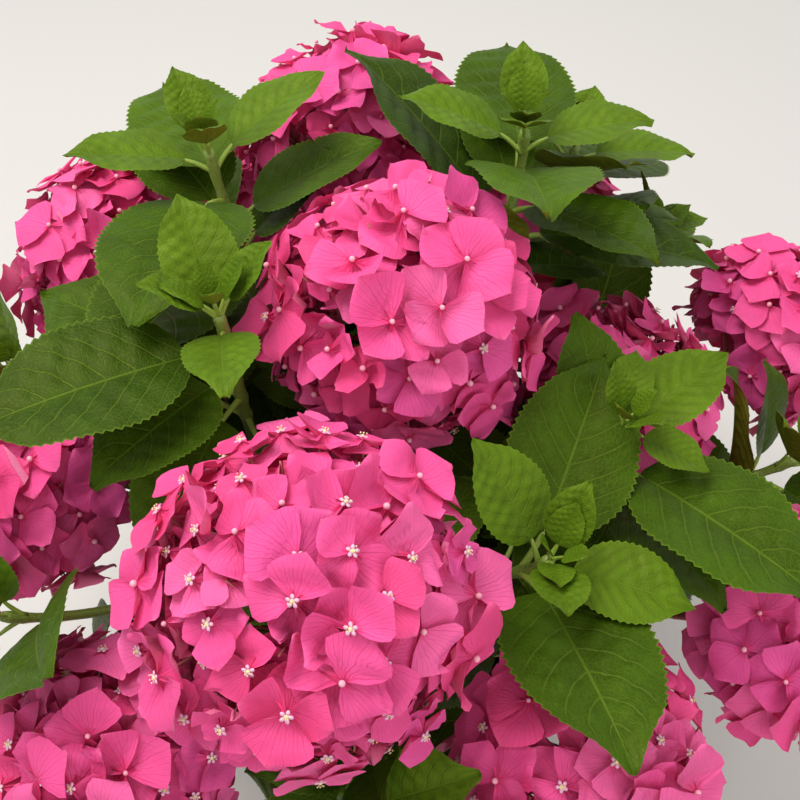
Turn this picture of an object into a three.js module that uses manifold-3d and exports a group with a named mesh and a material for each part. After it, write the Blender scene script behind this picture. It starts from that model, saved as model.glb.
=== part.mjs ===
// A mophead hydrangea in flower, whole, in its glazed clay pot.
// Millimetres, +Z up. The origin is the middle of the pot's flat underside, and the plant's front faces -Y.
// A woody crown stands on the soil and sends up canes. Each cane ends in a mass of green shoots, which carry
// opposite pairs of leaves, each pair turned a right angle from the last. A shoot ends in a flower head or in
// young leaves.

import * as THREE from 'three';
import { mergeVertices } from 'three/addons/utils/BufferGeometryUtils.js';
import Module from 'manifold-3d';

// Pot and soil
const POT_HEIGHT = 255;
const RIM_RADIUS = 150;
const FOOT_RADIUS = 105;
const POT_WALL = 9;
const POT_FLOOR = 12;
const COLLAR_HEIGHT = 44;
const COLLAR_PROUD = 6;
const RIM_ROUND = 3;
const DRAIN_HOLE_RADIUS = 8;
const DRAIN_HOLE_CIRCLE = 60;
const DRAIN_HOLES = 3;
const SOIL_BELOW_RIM = 25;
const SOIL_LEVEL = POT_HEIGHT - SOIL_BELOW_RIM;
const SOIL_FLAT_RADIUS = 55;
const SOIL_FALL = 7;
const POT_SEGMENTS = 32;
const SOIL_SEGMENTS = 24;

// Woody crown, from its flat cut on the soil to its top
const CROWN_RADIUS = 27;
const CROWN_HEIGHT = 34;
const ROOT_FLARE = 12;
const CROWN_LEAN = 4;
const CROWN_SEGMENTS = 20;

// Canes and shoots
const GAP = 0.3;
const CANE_FOOT_RADIUS = 6.5;
const CANE_TIP_RADIUS = 4.6;
const CANE_SIDES = 7;
const CANE_STEPS = 5;
const CANE_ROOT_SHARE = 0.16;
const CANE_ROOT_HEIGHT = 14;
const CANE_PULL = 0.3;
const FORK_STEM = 14;
const FORK_SUNK = 2;
const SHOOT_FOOT_RADIUS = 3.8;
const SHOOT_TIP_RADIUS = 2.6;
const SHOOT_SIDES = 3;
const SHOOT_STEPS = 6;
const SHOOT_START_PULL = 0.3;
const SHOOT_END_PULL = 0.4;

// Leaves: shares are of the blade's length unless they say otherwise
const LEAF_LENGTH = 108;
const LEAF_WIDTH = 0.68;
const LEAF_DROOP = 0.11;
const LEAF_FOLD = 0.16;
const LEAF_THICKNESS = 2.4;
const LEAF_STATIONS = [0.13, 0.42, 0.75];
const PROFILE_RISE = 0.52;
const PROFILE_FALL = 0.8;
const PETIOLE_LENGTH = 25;
const PETIOLE_RADIUS = 1.6;
const PETIOLE_RISE = 0.45;
const SHORTEST_PETIOLE = 0.4;
const STALK_SUNK = 0.35;
const LEAF_CLEARANCE = 4;
const FACE_TO_SKY = 0.6;
const STEEPEST_DIP = -0.3;
const TIP_THINNING = 0.25;
const LOWEST_JOINT = 0.06;
const TURN_JITTER = 9;
const LIFT_JITTER = 7;
const SIZE_JITTER = 0.08;

// A flower head is a dome of florets. Shares are of the head's radius
const FLORETS = 40;
const DOME_ANGLE = 124;
const HEAD_DETAIL = 3;
const FLORET_RELIEF = 0.11;
const FLORET_SPREAD = 0.3;
const UNDERSIDE_DRAWN_IN = 0.3;
const UNDERSIDE_BLEND = 0.3;
const STUB_SHARE = 0.95;
const STUB_RADIUS = 3.4;
const STUB_SIDES = 6;
const GOLDEN_ANGLE = 137.508;

// Canes by name: compass angle from +X, reach from the axis, height of the tip, and the tip's angle of rise
const CANES = [
  { name: 'centre', angle: -120, reach: 12, height: 302, rise: 85 },
  { name: 'front', angle: -92, reach: 76, height: 304, rise: 48 },
  { name: 'front_right', angle: -48, reach: 82, height: 292, rise: 38 },
  { name: 'right', angle: -12, reach: 36, height: 276, rise: 16 },
  { name: 'back_right', angle: 60, reach: 82, height: 302, rise: 40 },
  { name: 'back', angle: 106, reach: 82, height: 300, rise: 44 },
  { name: 'left_back', angle: 150, reach: 80, height: 306, rise: 46 },
  { name: 'left', angle: -172, reach: 78, height: 300, rise: 44 },
  { name: 'front_left', angle: -133, reach: 80, height: 294, rise: 36 },
];

// Shoots: the cane that carries each, the middle of its flower head or its leafy tip, the head's radius (0 for
// a leafy tip), how far the tip leans out from upright, and the turn of its first leaf pair. Angles in degrees
const SHOOTS = [
  { name: 'top', cane: 'centre', tip: [-11, -15, 452], head: 82, lean: 4, turn: 40, pairs: 2 },
  { name: 'leafy_middle', cane: 'centre', tip: [60, 88, 500], head: 0, lean: -6, turn: 122, pairs: 5 },
  { name: 'front', cane: 'front', tip: [-53, -181, 432], head: 86, lean: 34, turn: 10, pairs: 2 },
  { name: 'leafy_front', cane: 'front', tip: [64, -141, 406], head: 0, lean: 22, turn: 52, pairs: 4 },
  { name: 'leafy_low_front', cane: 'front', tip: [-32, -236, 316], head: 0, lean: 50, turn: 0, pairs: 4 },
  { name: 'low_front', cane: 'front_right', tip: [80, -210, 313], head: 77, lean: 50, turn: 0, pairs: 3 },
  { name: 'low_right', cane: 'front_right', tip: [205, -118, 305], head: 68, lean: 60, turn: 20, pairs: 3 },
  { name: 'leafy_right', cane: 'front_right', tip: [107, -66, 420], head: 0, lean: 10, turn: 62, pairs: 4 },
  { name: 'right', cane: 'right', tip: [115, 12, 352], head: 74, lean: 42, turn: 0, pairs: 1 },
  { name: 'leafy_side', cane: 'right', tip: [240, -4, 318], head: 0, lean: 48, turn: 20, pairs: 3 },
  { name: 'low_back_right', cane: 'back_right', tip: [240, 100, 322], head: 72, lean: 60, turn: 15, pairs: 3 },
  { name: 'low_back', cane: 'back_right', tip: [90, 215, 320], head: 72, lean: 52, turn: 0, pairs: 2 },
  { name: 'leafy_back', cane: 'back_right', tip: [105, 172, 430], head: 0, lean: 22, turn: -68, pairs: 4 },
  { name: 'leafy_back_right', cane: 'back_right', tip: [160, 160, 362], head: 0, lean: 38, turn: 60, pairs: 3 },
  { name: 'back', cane: 'back', tip: [-44, 171, 430], head: 78, lean: 30, turn: 25, pairs: 3 },
  { name: 'low_back_left', cane: 'back', tip: [-100, 235, 300], head: 72, lean: 60, turn: 0, pairs: 3 },
  { name: 'leafy_low_back', cane: 'back', tip: [-5, 258, 330], head: 0, lean: 50, turn: 30, pairs: 3 },
  { name: 'left_back', cane: 'left_back', tip: [-190, 105, 385], head: 75, lean: 45, turn: 20, pairs: 2 },
  { name: 'leafy_left_back', cane: 'left_back', tip: [-120, 78, 494], head: 0, lean: 12, turn: 51, pairs: 5 },
  { name: 'leafy_low_left_back', cane: 'left_back', tip: [-192, 192, 332], head: 0, lean: 42, turn: 45, pairs: 4 },
  { name: 'left', cane: 'left', tip: [-225, -45, 340], head: 72, lean: 55, turn: 10, pairs: 3 },
  { name: 'leafy_left_side', cane: 'left', tip: [-254, 38, 350], head: 0, lean: 42, turn: 10, pairs: 4 },
  { name: 'leafy_left', cane: 'left', tip: [-102, -50, 488], head: 0, lean: 8, turn: 83, pairs: 4 },
  { name: 'front_left', cane: 'front_left', tip: [-162, -198, 302], head: 75, lean: 60, turn: 0, pairs: 3 },
  { name: 'leafy_front_left', cane: 'front_left', tip: [-230, -130, 335], head: 0, lean: 45, turn: 40, pairs: 4 },
];

// Leaf pairs from a shoot's tip down: distance from the pair above, size of the blade, and lift above square.
// The first pair of a flowering shoot sits under its head, and a leafy shoot begins with young leaves
const FLOWERING_PAIRS = [
  { step: 14, size: 0.92, lift: 4 },
  { step: 38, size: 1.04, lift: 10 },
  { step: 42, size: 1.0, lift: 8 },
];
const LEAFY_PAIRS = [
  { step: 4, size: 0.36, lift: 48 },
  { step: 10, size: 0.58, lift: 24 },
  { step: 20, size: 1.04, lift: 14 },
  { step: 40, size: 1.08, lift: 8 },
  { step: 44, size: 0.96, lift: 6 },
];

// Where a leaf would touch something it is tried at other sizes, lifts and turns, in this order, and left out
// if none of them fits. Lifts and turns are in degrees
const TRY_SIZES = [1, 0.86, 0.72, 0.6];
const TRY_LIFTS = [0, -12, 12, -26, 26, -42];
const TRY_TURNS = [0, 14, -14, 30, -30, 48, -48];

const wasm = await Module();
wasm.setup();

const UP = new THREE.Vector3(0, 0, 1);

// A seeded dice: each throw gives a number from -1 to 1
function makeDice(seed) {
  let state = (seed * 7919 + 17) % 4294967296;
  return () => {
    state = (state * 1664525 + 1013904223) % 4294967296;
    return (2 * state) / 4294967296 - 1;
  };
}

// A geometry with nothing but its positions
function bareOf(geometry) {
  geometry.deleteAttribute('normal');
  geometry.deleteAttribute('uv');
  return geometry;
}

// A closed geometry as a solid
function toSolid(geometry) {
  const merged = mergeVertices(bareOf(geometry), 1e-4);
  const triVerts = new Uint32Array(merged.index.array);
  const vertProperties = new Float32Array(merged.attributes.position.array);
  return new wasm.Manifold(new wasm.Mesh({ numProp: 3, vertProperties, triVerts }));
}

// Solids joined into one
function join(solids) {
  return solids.reduce((whole, piece) => whole.add(piece));
}

// A solid as a named mesh
function toMesh(name, solid, material) {
  const { vertProperties, triVerts } = solid.getMesh();
  const geometry = new THREE.BufferGeometry();
  geometry.setAttribute('position', new THREE.BufferAttribute(vertProperties, 3));
  geometry.setIndex(new THREE.BufferAttribute(triVerts, 1));
  geometry.computeVertexNormals();
  const mesh = new THREE.Mesh(geometry, material);
  mesh.name = name;
  return mesh;
}

// A geometry from lists of points and triangles
function fromPoints(points, triangles) {
  const geometry = new THREE.BufferGeometry();
  geometry.setFromPoints(points);
  geometry.setIndex(triangles.flat());
  return geometry;
}

// A profile of [radius, height] points turned about the pot's axis
function turned(profile, segments) {
  const points = profile.map(([radius, height]) => new THREE.Vector2(radius, height));
  return new THREE.LatheGeometry(points, segments).rotateX(Math.PI / 2);
}

// A tapering limb: a cylinder bent along a curve
function limb(curve, footRadius, tipRadius, sides, steps) {
  const geometry = new THREE.CylinderGeometry(1, 1, 1, sides, steps);
  const frames = curve.computeFrenetFrames(steps);
  const position = geometry.attributes.position;
  for (let i = 0; i < position.count; i += 1) {
    const share = position.getY(i) + 0.5;
    const ring = Math.round(share * steps);
    const radius = footRadius + (tipRadius - footRadius) * share;
    const point = curve.getPointAt(share);
    point.addScaledVector(frames.normals[ring], radius * position.getX(i));
    point.addScaledVector(frames.binormals[ring], -radius * position.getZ(i));
    position.setXYZ(i, point.x, point.y, point.z);
  }
  return geometry;
}

// The direction at a compass angle that rises by the other angle, both in degrees
function heading(angle, rise) {
  const around = THREE.MathUtils.degToRad(angle);
  const above = THREE.MathUtils.degToRad(rise);
  return new THREE.Vector3(
    Math.cos(above) * Math.cos(around),
    Math.cos(above) * Math.sin(around),
    Math.sin(above),
  );
}

// A curve that leaves one point in one direction and reaches another in a second direction
function bend(start, leaving, end, arriving, startPull, endPull) {
  const span = start.distanceTo(end);
  return new THREE.CubicBezierCurve3(
    start.clone(),
    start.clone().addScaledVector(leaving, startPull * span),
    end.clone().addScaledVector(arriving, -endPull * span),
    end.clone(),
  );
}

// The radius of the pot's tapered wall at a height, without its collar
function wallAt(height) {
  return FOOT_RADIUS + ((RIM_RADIUS - COLLAR_PROUD - FOOT_RADIUS) * height) / POT_HEIGHT;
}

// The pot: a tapered bowl with a proud collar and drain holes
function makePot() {
  const collarBottom = POT_HEIGHT - COLLAR_HEIGHT;
  const inside = (height) => wallAt(height) - POT_WALL;
  const profile = [
    [0, 0],
    [FOOT_RADIUS - RIM_ROUND, 0],
    [FOOT_RADIUS, RIM_ROUND],
    [wallAt(collarBottom), collarBottom],
    [RIM_RADIUS - RIM_ROUND, collarBottom + 2],
    [RIM_RADIUS - 1, collarBottom + 2 + RIM_ROUND],
    [RIM_RADIUS, POT_HEIGHT - RIM_ROUND],
    [RIM_RADIUS - RIM_ROUND, POT_HEIGHT],
    [inside(POT_HEIGHT) + RIM_ROUND, POT_HEIGHT],
    [inside(POT_HEIGHT), POT_HEIGHT - RIM_ROUND],
    [inside(POT_FLOOR), POT_FLOOR],
    [0, POT_FLOOR],
  ];
  const holes = [];
  for (let i = 0; i < DRAIN_HOLES; i += 1) {
    const around = (2 * Math.PI * (i + 0.5)) / DRAIN_HOLES;
    const hole = new THREE.CylinderGeometry(DRAIN_HOLE_RADIUS, DRAIN_HOLE_RADIUS, 3 * POT_FLOOR, 12);
    hole.rotateX(Math.PI / 2);
    hole.translate(DRAIN_HOLE_CIRCLE * Math.cos(around), DRAIN_HOLE_CIRCLE * Math.sin(around), 0);
    holes.push(toSolid(hole));
  }
  return toSolid(turned(profile, POT_SEGMENTS)).subtract(join(holes));
}

// The soil: a plug that fills the pot, flat under the woody crown and lower at the wall
function makeSoil() {
  const inside = (height) => wallAt(height) - POT_WALL - 2 * GAP;
  const edge = SOIL_LEVEL - SOIL_FALL;
  const profile = [
    [0, POT_FLOOR + GAP],
    [inside(POT_FLOOR), POT_FLOOR + GAP],
    [inside(edge), edge],
    [SOIL_FLAT_RADIUS, SOIL_LEVEL],
    [0, SOIL_LEVEL],
  ];
  return toSolid(turned(profile, SOIL_SEGMENTS));
}

// The woody crown, grown by a margin where something is cut to fit it. Its outline swells under its canes
function makeCrown(margin) {
  const foot = SOIL_LEVEL + GAP;
  const profile = [
    [0, 0],
    [CROWN_RADIUS + ROOT_FLARE, 0],
    [CROWN_RADIUS + 0.45 * ROOT_FLARE, 0.18 * CROWN_HEIGHT],
    [CROWN_RADIUS, 0.5 * CROWN_HEIGHT],
    [0.8 * CROWN_RADIUS, 0.82 * CROWN_HEIGHT],
    [0.42 * CROWN_RADIUS, CROWN_HEIGHT],
    [0, 1.04 * CROWN_HEIGHT],
  ];
  const geometry = turned(profile, CROWN_SEGMENTS);
  const position = geometry.attributes.position;
  for (let i = 0; i < position.count; i += 1) {
    const x = position.getX(i);
    const y = position.getY(i);
    const z = position.getZ(i);
    const radius = Math.hypot(x, y);
    const around = Math.atan2(y, x);
    const swell = 1 + 0.09 * Math.sin(3 * around + 0.6) + 0.06 * Math.sin(5 * around);
    const grown = radius > 0.1 ? swell + margin / radius : 0;
    const lean = (CROWN_LEAN * z) / CROWN_HEIGHT;
    const lift = z > 0.9 * CROWN_HEIGHT ? margin : 0;
    position.setXYZ(i, x * grown + lean, y * grown, foot + z + lift);
  }
  return toSolid(geometry);
}

// A cane's tip and the direction it points there
function caneEnd(cane) {
  const out = heading(cane.angle, 0);
  const tip = out.multiplyScalar(cane.reach).setZ(cane.height);
  return { tip, along: heading(cane.angle, cane.rise) };
}

// A cane: one tapering limb from inside the crown, cut clear of it
function makeCane(cane, crownSpace) {
  const { tip, along } = caneEnd(cane);
  const root = heading(cane.angle, 0).multiplyScalar(CANE_ROOT_SHARE * cane.reach);
  root.z = SOIL_LEVEL + CANE_ROOT_HEIGHT;
  root.x += 0.5 * CROWN_LEAN;
  const curve = bend(root, along, tip, along, CANE_PULL, CANE_PULL);
  const geometry = limb(curve, CANE_FOOT_RADIUS, CANE_TIP_RADIUS, CANE_SIDES, CANE_STEPS);
  return toSolid(geometry).subtract(crownSpace);
}

// A shoot's curve from its cane's fork to the underside of its flower head or to its leafy tip
function shootPath(shoot, fork, along) {
  const tip = new THREE.Vector3(...shoot.tip);
  const angle = THREE.MathUtils.radToDeg(Math.atan2(tip.y, tip.x));
  const axis = heading(angle, 90 - shoot.lean);
  const end = tip.clone().addScaledVector(axis, -STUB_SHARE * shoot.head);
  const leaving = end.clone().sub(fork).normalize().add(along).normalize();
  const curve = bend(fork, leaving, end, axis, SHOOT_START_PULL, SHOOT_END_PULL);
  return { curve, axis, angle, length: curve.getLength() };
}

// The stems of one mass: a green stem that starts just clear of its cane's tip, and the shoots that fork off
function makeStems(cane) {
  const { tip, along } = caneEnd(cane);
  const foot = tip.clone().addScaledVector(along, GAP);
  const fork = foot.clone().addScaledVector(along, FORK_STEM);
  const stem = limb(new THREE.LineCurve3(foot, fork), CANE_TIP_RADIUS, SHOOT_FOOT_RADIUS, CANE_SIDES, 1);
  const shoots = SHOOTS.filter((shoot) => shoot.cane === cane.name).map((shoot, i) => {
    const start = fork.clone().addScaledVector(along, -FORK_SUNK * (i + 1));
    return { shoot, path: shootPath(shoot, start, along) };
  });
  const limbs = shoots.map(({ path }) =>
    limb(path.curve, SHOOT_FOOT_RADIUS, SHOOT_TIP_RADIUS, SHOOT_SIDES, SHOOT_STEPS),
  );
  return { shoots, stems: [stem, ...limbs].map(toSolid) };
}

// A point inside a faceted shoot, at a share of its length: on the chord between two of its rings
function stemPoint(curve, share) {
  const ring = Math.min(SHOOT_STEPS - 1, Math.floor(share * SHOOT_STEPS));
  const below = curve.getPointAt(ring / SHOOT_STEPS);
  const above = curve.getPointAt((ring + 1) / SHOOT_STEPS);
  return below.lerp(above, share * SHOOT_STEPS - ring);
}

// How wide a blade is at a share of its length, as a share of its greatest half width
function leafOutline(share) {
  const widest = PROFILE_RISE / (PROFILE_RISE + PROFILE_FALL);
  return (share / widest) ** PROFILE_RISE * ((1 - share) / (1 - widest)) ** PROFILE_FALL;
}

// A leaf's frame: where its stalk leaves the stem, where the blade begins, and the blade's three directions
function placeLeaf(joint, stem, sideways, lift, size) {
  const rise = THREE.MathUtils.degToRad(lift);
  const along = sideways.clone().multiplyScalar(Math.cos(rise)).addScaledVector(stem, Math.sin(rise));
  along.z = Math.max(along.z, STEEPEST_DIP);
  along.normalize();
  const stalk = along.clone().addScaledVector(stem, PETIOLE_RISE).normalize();
  const stalkLength = PETIOLE_LENGTH * (SHORTEST_PETIOLE + (1 - SHORTEST_PETIOLE) * size);
  const length = LEAF_LENGTH * size;
  const base = joint.clone().addScaledVector(stalk, stalkLength);
  const face = stem.clone().lerp(UP, FACE_TO_SKY);
  face.addScaledVector(along, -face.dot(along)).normalize();
  const across = along.clone().cross(face);
  return { joint, base, along, face, across, length };
}

// Every change that a leaf is tried with, the smallest first
function listTries() {
  return TRY_SIZES.flatMap((size) =>
    TRY_LIFTS.flatMap((lift) => TRY_TURNS.map((turn) => ({ turn, lift, size }))),
  );
}

// A point on a blade, at a share of its length and a share of its half width to the right
function bladePoint(leaf, share, side, height) {
  const halfWidth = 0.5 * LEAF_WIDTH * leaf.length * (share < 1 ? leafOutline(share) : 0);
  const rise = LEAF_FOLD * Math.abs(side) * halfWidth - LEAF_DROOP * leaf.length * share ** 2 + height;
  return leaf.base
    .clone()
    .addScaledVector(leaf.along, share * leaf.length)
    .addScaledVector(leaf.across, side * halfWidth)
    .addScaledVector(leaf.face, rise);
}

// A leaf on its stalk, as one closed blade: a folded upper and lower face that meet at the margin. Without its
// stalk it is the bare blade
function makeLeaf(leaf, withStalk) {
  const thick = (0.5 * LEAF_THICKNESS * leaf.length) / LEAF_LENGTH;
  const stations = LEAF_STATIONS.length;
  const ring = (centre, radius) => [
    centre.clone().addScaledVector(leaf.across, -radius).addScaledVector(leaf.face, 0.5 * radius),
    centre.clone().addScaledVector(leaf.across, radius).addScaledVector(leaf.face, 0.5 * radius),
    centre.clone().addScaledVector(leaf.face, -radius),
  ];
  const start = withStalk ? leaf.joint.clone() : leaf.base.clone().addScaledVector(leaf.along, -1);
  start.addScaledVector(leaf.along, STALK_SUNK * PETIOLE_RADIUS);
  const points = [...ring(start, STALK_SUNK * PETIOLE_RADIUS), ...ring(leaf.base, PETIOLE_RADIUS)];
  const [startLeft, startRight, startBelow, left, right, below] = [0, 1, 2, 3, 4, 5];
  const lefts = [left];
  const rights = [right];
  const tops = [left];
  const bottoms = [below];
  LEAF_STATIONS.forEach((share, i) => {
    const thin = 1 - (TIP_THINNING * i) / stations;
    lefts.push(points.push(bladePoint(leaf, share, -1, 0)) - 1);
    rights.push(points.push(bladePoint(leaf, share, 1, 0)) - 1);
    tops.push(points.push(bladePoint(leaf, share, 0, thick * thin)) - 1);
    bottoms.push(points.push(bladePoint(leaf, share, 0, -thick * thin)) - 1);
  });
  const tip = points.push(bladePoint(leaf, 1, 0, 0)) - 1;
  const triangles = [
    [startLeft, startRight, right],
    [startLeft, right, left],
    [startRight, startBelow, below],
    [startRight, below, right],
    [startLeft, left, below],
    [startLeft, below, startBelow],
    [startRight, startLeft, startBelow],
    [left, right, tops[1]],
    [right, rights[1], tops[1]],
    [left, tops[1], lefts[1]],
    [right, below, bottoms[1]],
    [right, bottoms[1], rights[1]],
    [left, bottoms[1], below],
    [left, lefts[1], bottoms[1]],
  ];
  for (let i = 1; i < stations; i += 1) {
    triangles.push([rights[i], rights[i + 1], tops[i + 1]], [rights[i], tops[i + 1], tops[i]]);
    triangles.push([lefts[i], tops[i + 1], lefts[i + 1]], [lefts[i], tops[i], tops[i + 1]]);
    triangles.push([rights[i], bottoms[i + 1], rights[i + 1]], [rights[i], bottoms[i], bottoms[i + 1]]);
    triangles.push([lefts[i], lefts[i + 1], bottoms[i + 1]], [lefts[i], bottoms[i + 1], bottoms[i]]);
  }
  triangles.push([rights[stations], tip, tops[stations]], [lefts[stations], tops[stations], tip]);
  triangles.push([rights[stations], bottoms[stations], tip], [lefts[stations], tip, bottoms[stations]]);
  return toSolid(fromPoints(points, triangles));
}

// Whether two solids come together, with a quick look at their boxes first
function meet(one, other) {
  const a = one.box;
  const b = other.box;
  const apart = [0, 1, 2].some((axis) => a.max[axis] < b.min[axis] || b.max[axis] < a.min[axis]);
  return !apart && !one.solid.intersect(other.solid).isEmpty();
}

function withBox(solid) {
  return { solid, box: solid.boundingBox() };
}

// Whether a blade keeps clear of every flower head
function clearOfHeads(leaf) {
  const checks = [[0.25, 0], [0.5, 0], [1, 0]];
  LEAF_STATIONS.forEach((share) => checks.push([share, -1], [share, 0], [share, 1]));
  return SHOOTS.filter((shoot) => shoot.head > 0).every((shoot) => {
    const centre = new THREE.Vector3(...shoot.tip);
    const reach = shoot.head + LEAF_CLEARANCE;
    return checks.every(([share, side]) => bladePoint(leaf, share, side, 0).distanceTo(centre) > reach);
  });
}

// The leaves of one shoot, each in the first of its tries that keeps clear of all that is there
function growLeaves(shoot, path, placed, mass) {
  const dice = makeDice(SHOOTS.indexOf(shoot) + 1);
  const pairs = (shoot.head > 0 ? FLOWERING_PAIRS : LEAFY_PAIRS).slice(0, shoot.pairs);
  const tries = listTries();
  const grown = [];
  let fromTip = 0;
  pairs.forEach((pair, i) => {
    fromTip += pair.step;
    const share = Math.max(LOWEST_JOINT, 1 - fromTip / path.length);
    const joint = stemPoint(path.curve, share);
    const stem = path.curve.getTangentAt(share);
    const tangential = heading(path.angle + 90, 0);
    tangential.addScaledVector(stem, -tangential.dot(stem)).normalize();
    const inward = stem.clone().cross(tangential);
    for (let half = 0; half < 2; half += 1) {
      const turn = shoot.turn + 90 * i + 180 * half + TURN_JITTER * dice();
      const lifted = pair.lift + LIFT_JITTER * dice();
      const size = pair.size * (1 + SIZE_JITTER * dice());
      tries.some((change) => {
        const around = THREE.MathUtils.degToRad(turn + change.turn);
        const sideways = tangential.clone().multiplyScalar(Math.cos(around));
        sideways.addScaledVector(inward, Math.sin(around));
        const lift = lifted + change.lift;
        const leaf = placeLeaf(joint, stem, sideways, lift, size * change.size);
        if (!clearOfHeads(leaf)) {
          return false;
        }
        const blade = withBox(makeLeaf(leaf, false));
        const whole = withBox(makeLeaf(leaf, true));
        const touches = placed.some((thing) => meet(thing.mass === mass ? blade : whole, thing));
        if (touches) {
          return false;
        }
        placed.push({ ...whole, mass });
        grown.push(whole.solid);
        return true;
      });
    }
  });
  return grown;
}

// A flower head: a dome swollen into a floret around each point of a golden-angle spiral, drawn in underneath
// where the stalks of the florets meet, and fused to a short stub of stem
function makeHead(shoot, axis) {
  const centre = new THREE.Vector3(...shoot.tip);
  const turn = new THREE.Quaternion().setFromUnitVectors(UP, axis);
  const dome = 1 - Math.cos(THREE.MathUtils.degToRad(DOME_ANGLE));
  const florets = [];
  for (let i = 0; i < FLORETS; i += 1) {
    const height = 1 - (dome * (i + 0.5)) / FLORETS;
    const around = THREE.MathUtils.degToRad(i * GOLDEN_ANGLE + shoot.turn);
    const width = Math.sqrt(1 - height ** 2);
    florets.push(new THREE.Vector3(width * Math.cos(around), width * Math.sin(around), height));
  }
  const ball = mergeVertices(bareOf(new THREE.IcosahedronGeometry(1, HEAD_DETAIL)), 1e-4);
  const position = ball.attributes.position;
  const edge = Math.cos(THREE.MathUtils.degToRad(DOME_ANGLE));
  for (let i = 0; i < position.count; i += 1) {
    const out = new THREE.Vector3().fromBufferAttribute(position, i).normalize();
    const nearest = Math.min(...florets.map((floret) => floret.distanceTo(out)));
    const sunk = FLORET_RELIEF * Math.min(1, nearest / FLORET_SPREAD) ** 2;
    const drawnIn = UNDERSIDE_DRAWN_IN * THREE.MathUtils.smoothstep(edge - out.z, 0, UNDERSIDE_BLEND);
    out.multiplyScalar(shoot.head * (1 - sunk - drawnIn)).applyQuaternion(turn).add(centre);
    position.setXYZ(i, out.x, out.y, out.z);
  }
  const stubLength = STUB_SHARE * shoot.head - GAP;
  const stub = new THREE.CylinderGeometry(STUB_RADIUS, STUB_RADIUS, stubLength, STUB_SIDES);
  stub.rotateX(Math.PI / 2).translate(0, 0, -0.5 * stubLength);
  stub.applyQuaternion(turn).translate(centre.x, centre.y, centre.z);
  return toSolid(ball).add(toSolid(stub));
}

const materials = {
  pot: new THREE.MeshStandardMaterial({ color: 0x6e2113, roughness: 0.3, metalness: 0 }),
  soil: new THREE.MeshStandardMaterial({ color: 0x3d2a1a, roughness: 1, metalness: 0 }),
  bark: new THREE.MeshStandardMaterial({ color: 0x6b5138, roughness: 0.9, metalness: 0 }),
  foliage: new THREE.MeshStandardMaterial({ color: 0x3a6410, roughness: 0.45, metalness: 0 }),
  blossom: new THREE.MeshStandardMaterial({ color: 0xee5a96, roughness: 0.6, metalness: 0 }),
};

const hydrangea = new THREE.Group();
const pot = makePot();
const soil = makeSoil();
const crown = makeCrown(0);
const crownSpace = makeCrown(GAP);
const canes = CANES.map((cane) => makeCane(cane, crownSpace));
const masses = CANES.map((cane) => makeStems(cane));
hydrangea.add(toMesh('pot', pot, materials.pot.clone()));
hydrangea.add(toMesh('soil', soil, materials.soil.clone()));
hydrangea.add(toMesh('woody_crown', crown, materials.bark.clone()));

// All limbs are placed first, so that every leaf can keep clear of them
const placed = [pot, soil, crown, ...canes].map((solid) => ({ ...withBox(solid), mass: null }));
CANES.forEach((cane, i) => {
  placed.push(...masses[i].stems.map((solid) => ({ ...withBox(solid), mass: cane.name })));
});

CANES.forEach((cane, i) => {
  const leaves = masses[i].shoots.flatMap(({ shoot, path }) => growLeaves(shoot, path, placed, cane.name));
  const mass = join([...masses[i].stems, ...leaves]);
  hydrangea.add(toMesh(`cane_${cane.name}`, canes[i], materials.bark.clone()));
  hydrangea.add(toMesh(`foliage_${cane.name}`, mass, materials.foliage.clone()));
  masses[i].shoots
    .filter(({ shoot }) => shoot.head > 0)
    .forEach(({ shoot, path }) => {
      const head = makeHead(shoot, path.axis);
      hydrangea.add(toMesh(`flower_head_${shoot.name}`, head, materials.blossom.clone()));
    });
});

export default hydrangea;
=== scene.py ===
"""A mophead hydrangea in full flower, in its glazed clay pot.

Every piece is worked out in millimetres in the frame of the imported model, +Z up with the plant's front
facing -Y, and becomes metres when its mesh is made. The shoots and leaves follow the same growing rule as
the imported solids.
"""

import functools
import itertools
import math

import bmesh
import bpy
import numpy as np
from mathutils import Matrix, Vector
from mathutils.bvhtree import BVHTree


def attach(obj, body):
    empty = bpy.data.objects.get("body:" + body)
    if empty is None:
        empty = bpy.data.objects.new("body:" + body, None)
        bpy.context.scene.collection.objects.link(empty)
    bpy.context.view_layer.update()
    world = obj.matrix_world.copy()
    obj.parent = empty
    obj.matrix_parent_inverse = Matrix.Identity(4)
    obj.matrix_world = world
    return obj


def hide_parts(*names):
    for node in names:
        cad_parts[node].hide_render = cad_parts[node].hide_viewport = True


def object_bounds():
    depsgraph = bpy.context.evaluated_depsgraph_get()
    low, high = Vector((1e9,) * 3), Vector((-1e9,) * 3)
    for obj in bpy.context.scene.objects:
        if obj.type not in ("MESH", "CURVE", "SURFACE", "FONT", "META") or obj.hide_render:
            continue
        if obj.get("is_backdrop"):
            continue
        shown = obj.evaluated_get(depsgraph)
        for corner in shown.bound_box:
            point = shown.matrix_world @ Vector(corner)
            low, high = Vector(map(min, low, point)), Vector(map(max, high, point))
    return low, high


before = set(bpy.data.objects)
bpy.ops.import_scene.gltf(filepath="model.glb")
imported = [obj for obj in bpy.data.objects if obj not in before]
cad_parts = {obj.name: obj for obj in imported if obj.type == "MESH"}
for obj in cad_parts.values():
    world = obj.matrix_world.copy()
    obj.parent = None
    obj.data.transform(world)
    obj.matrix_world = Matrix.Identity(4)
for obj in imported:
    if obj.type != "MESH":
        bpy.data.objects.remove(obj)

bl_info = {
    "name": "Potted Hydrangea",
    "version": (1, 0, 0),
    "blender": (4, 5, 0),
    "location": "3D View > Sidebar > Hydrangea",
    "description": "Grows a mophead hydrangea in its pot around a packed model",
    "category": "Add Mesh",
}

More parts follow.
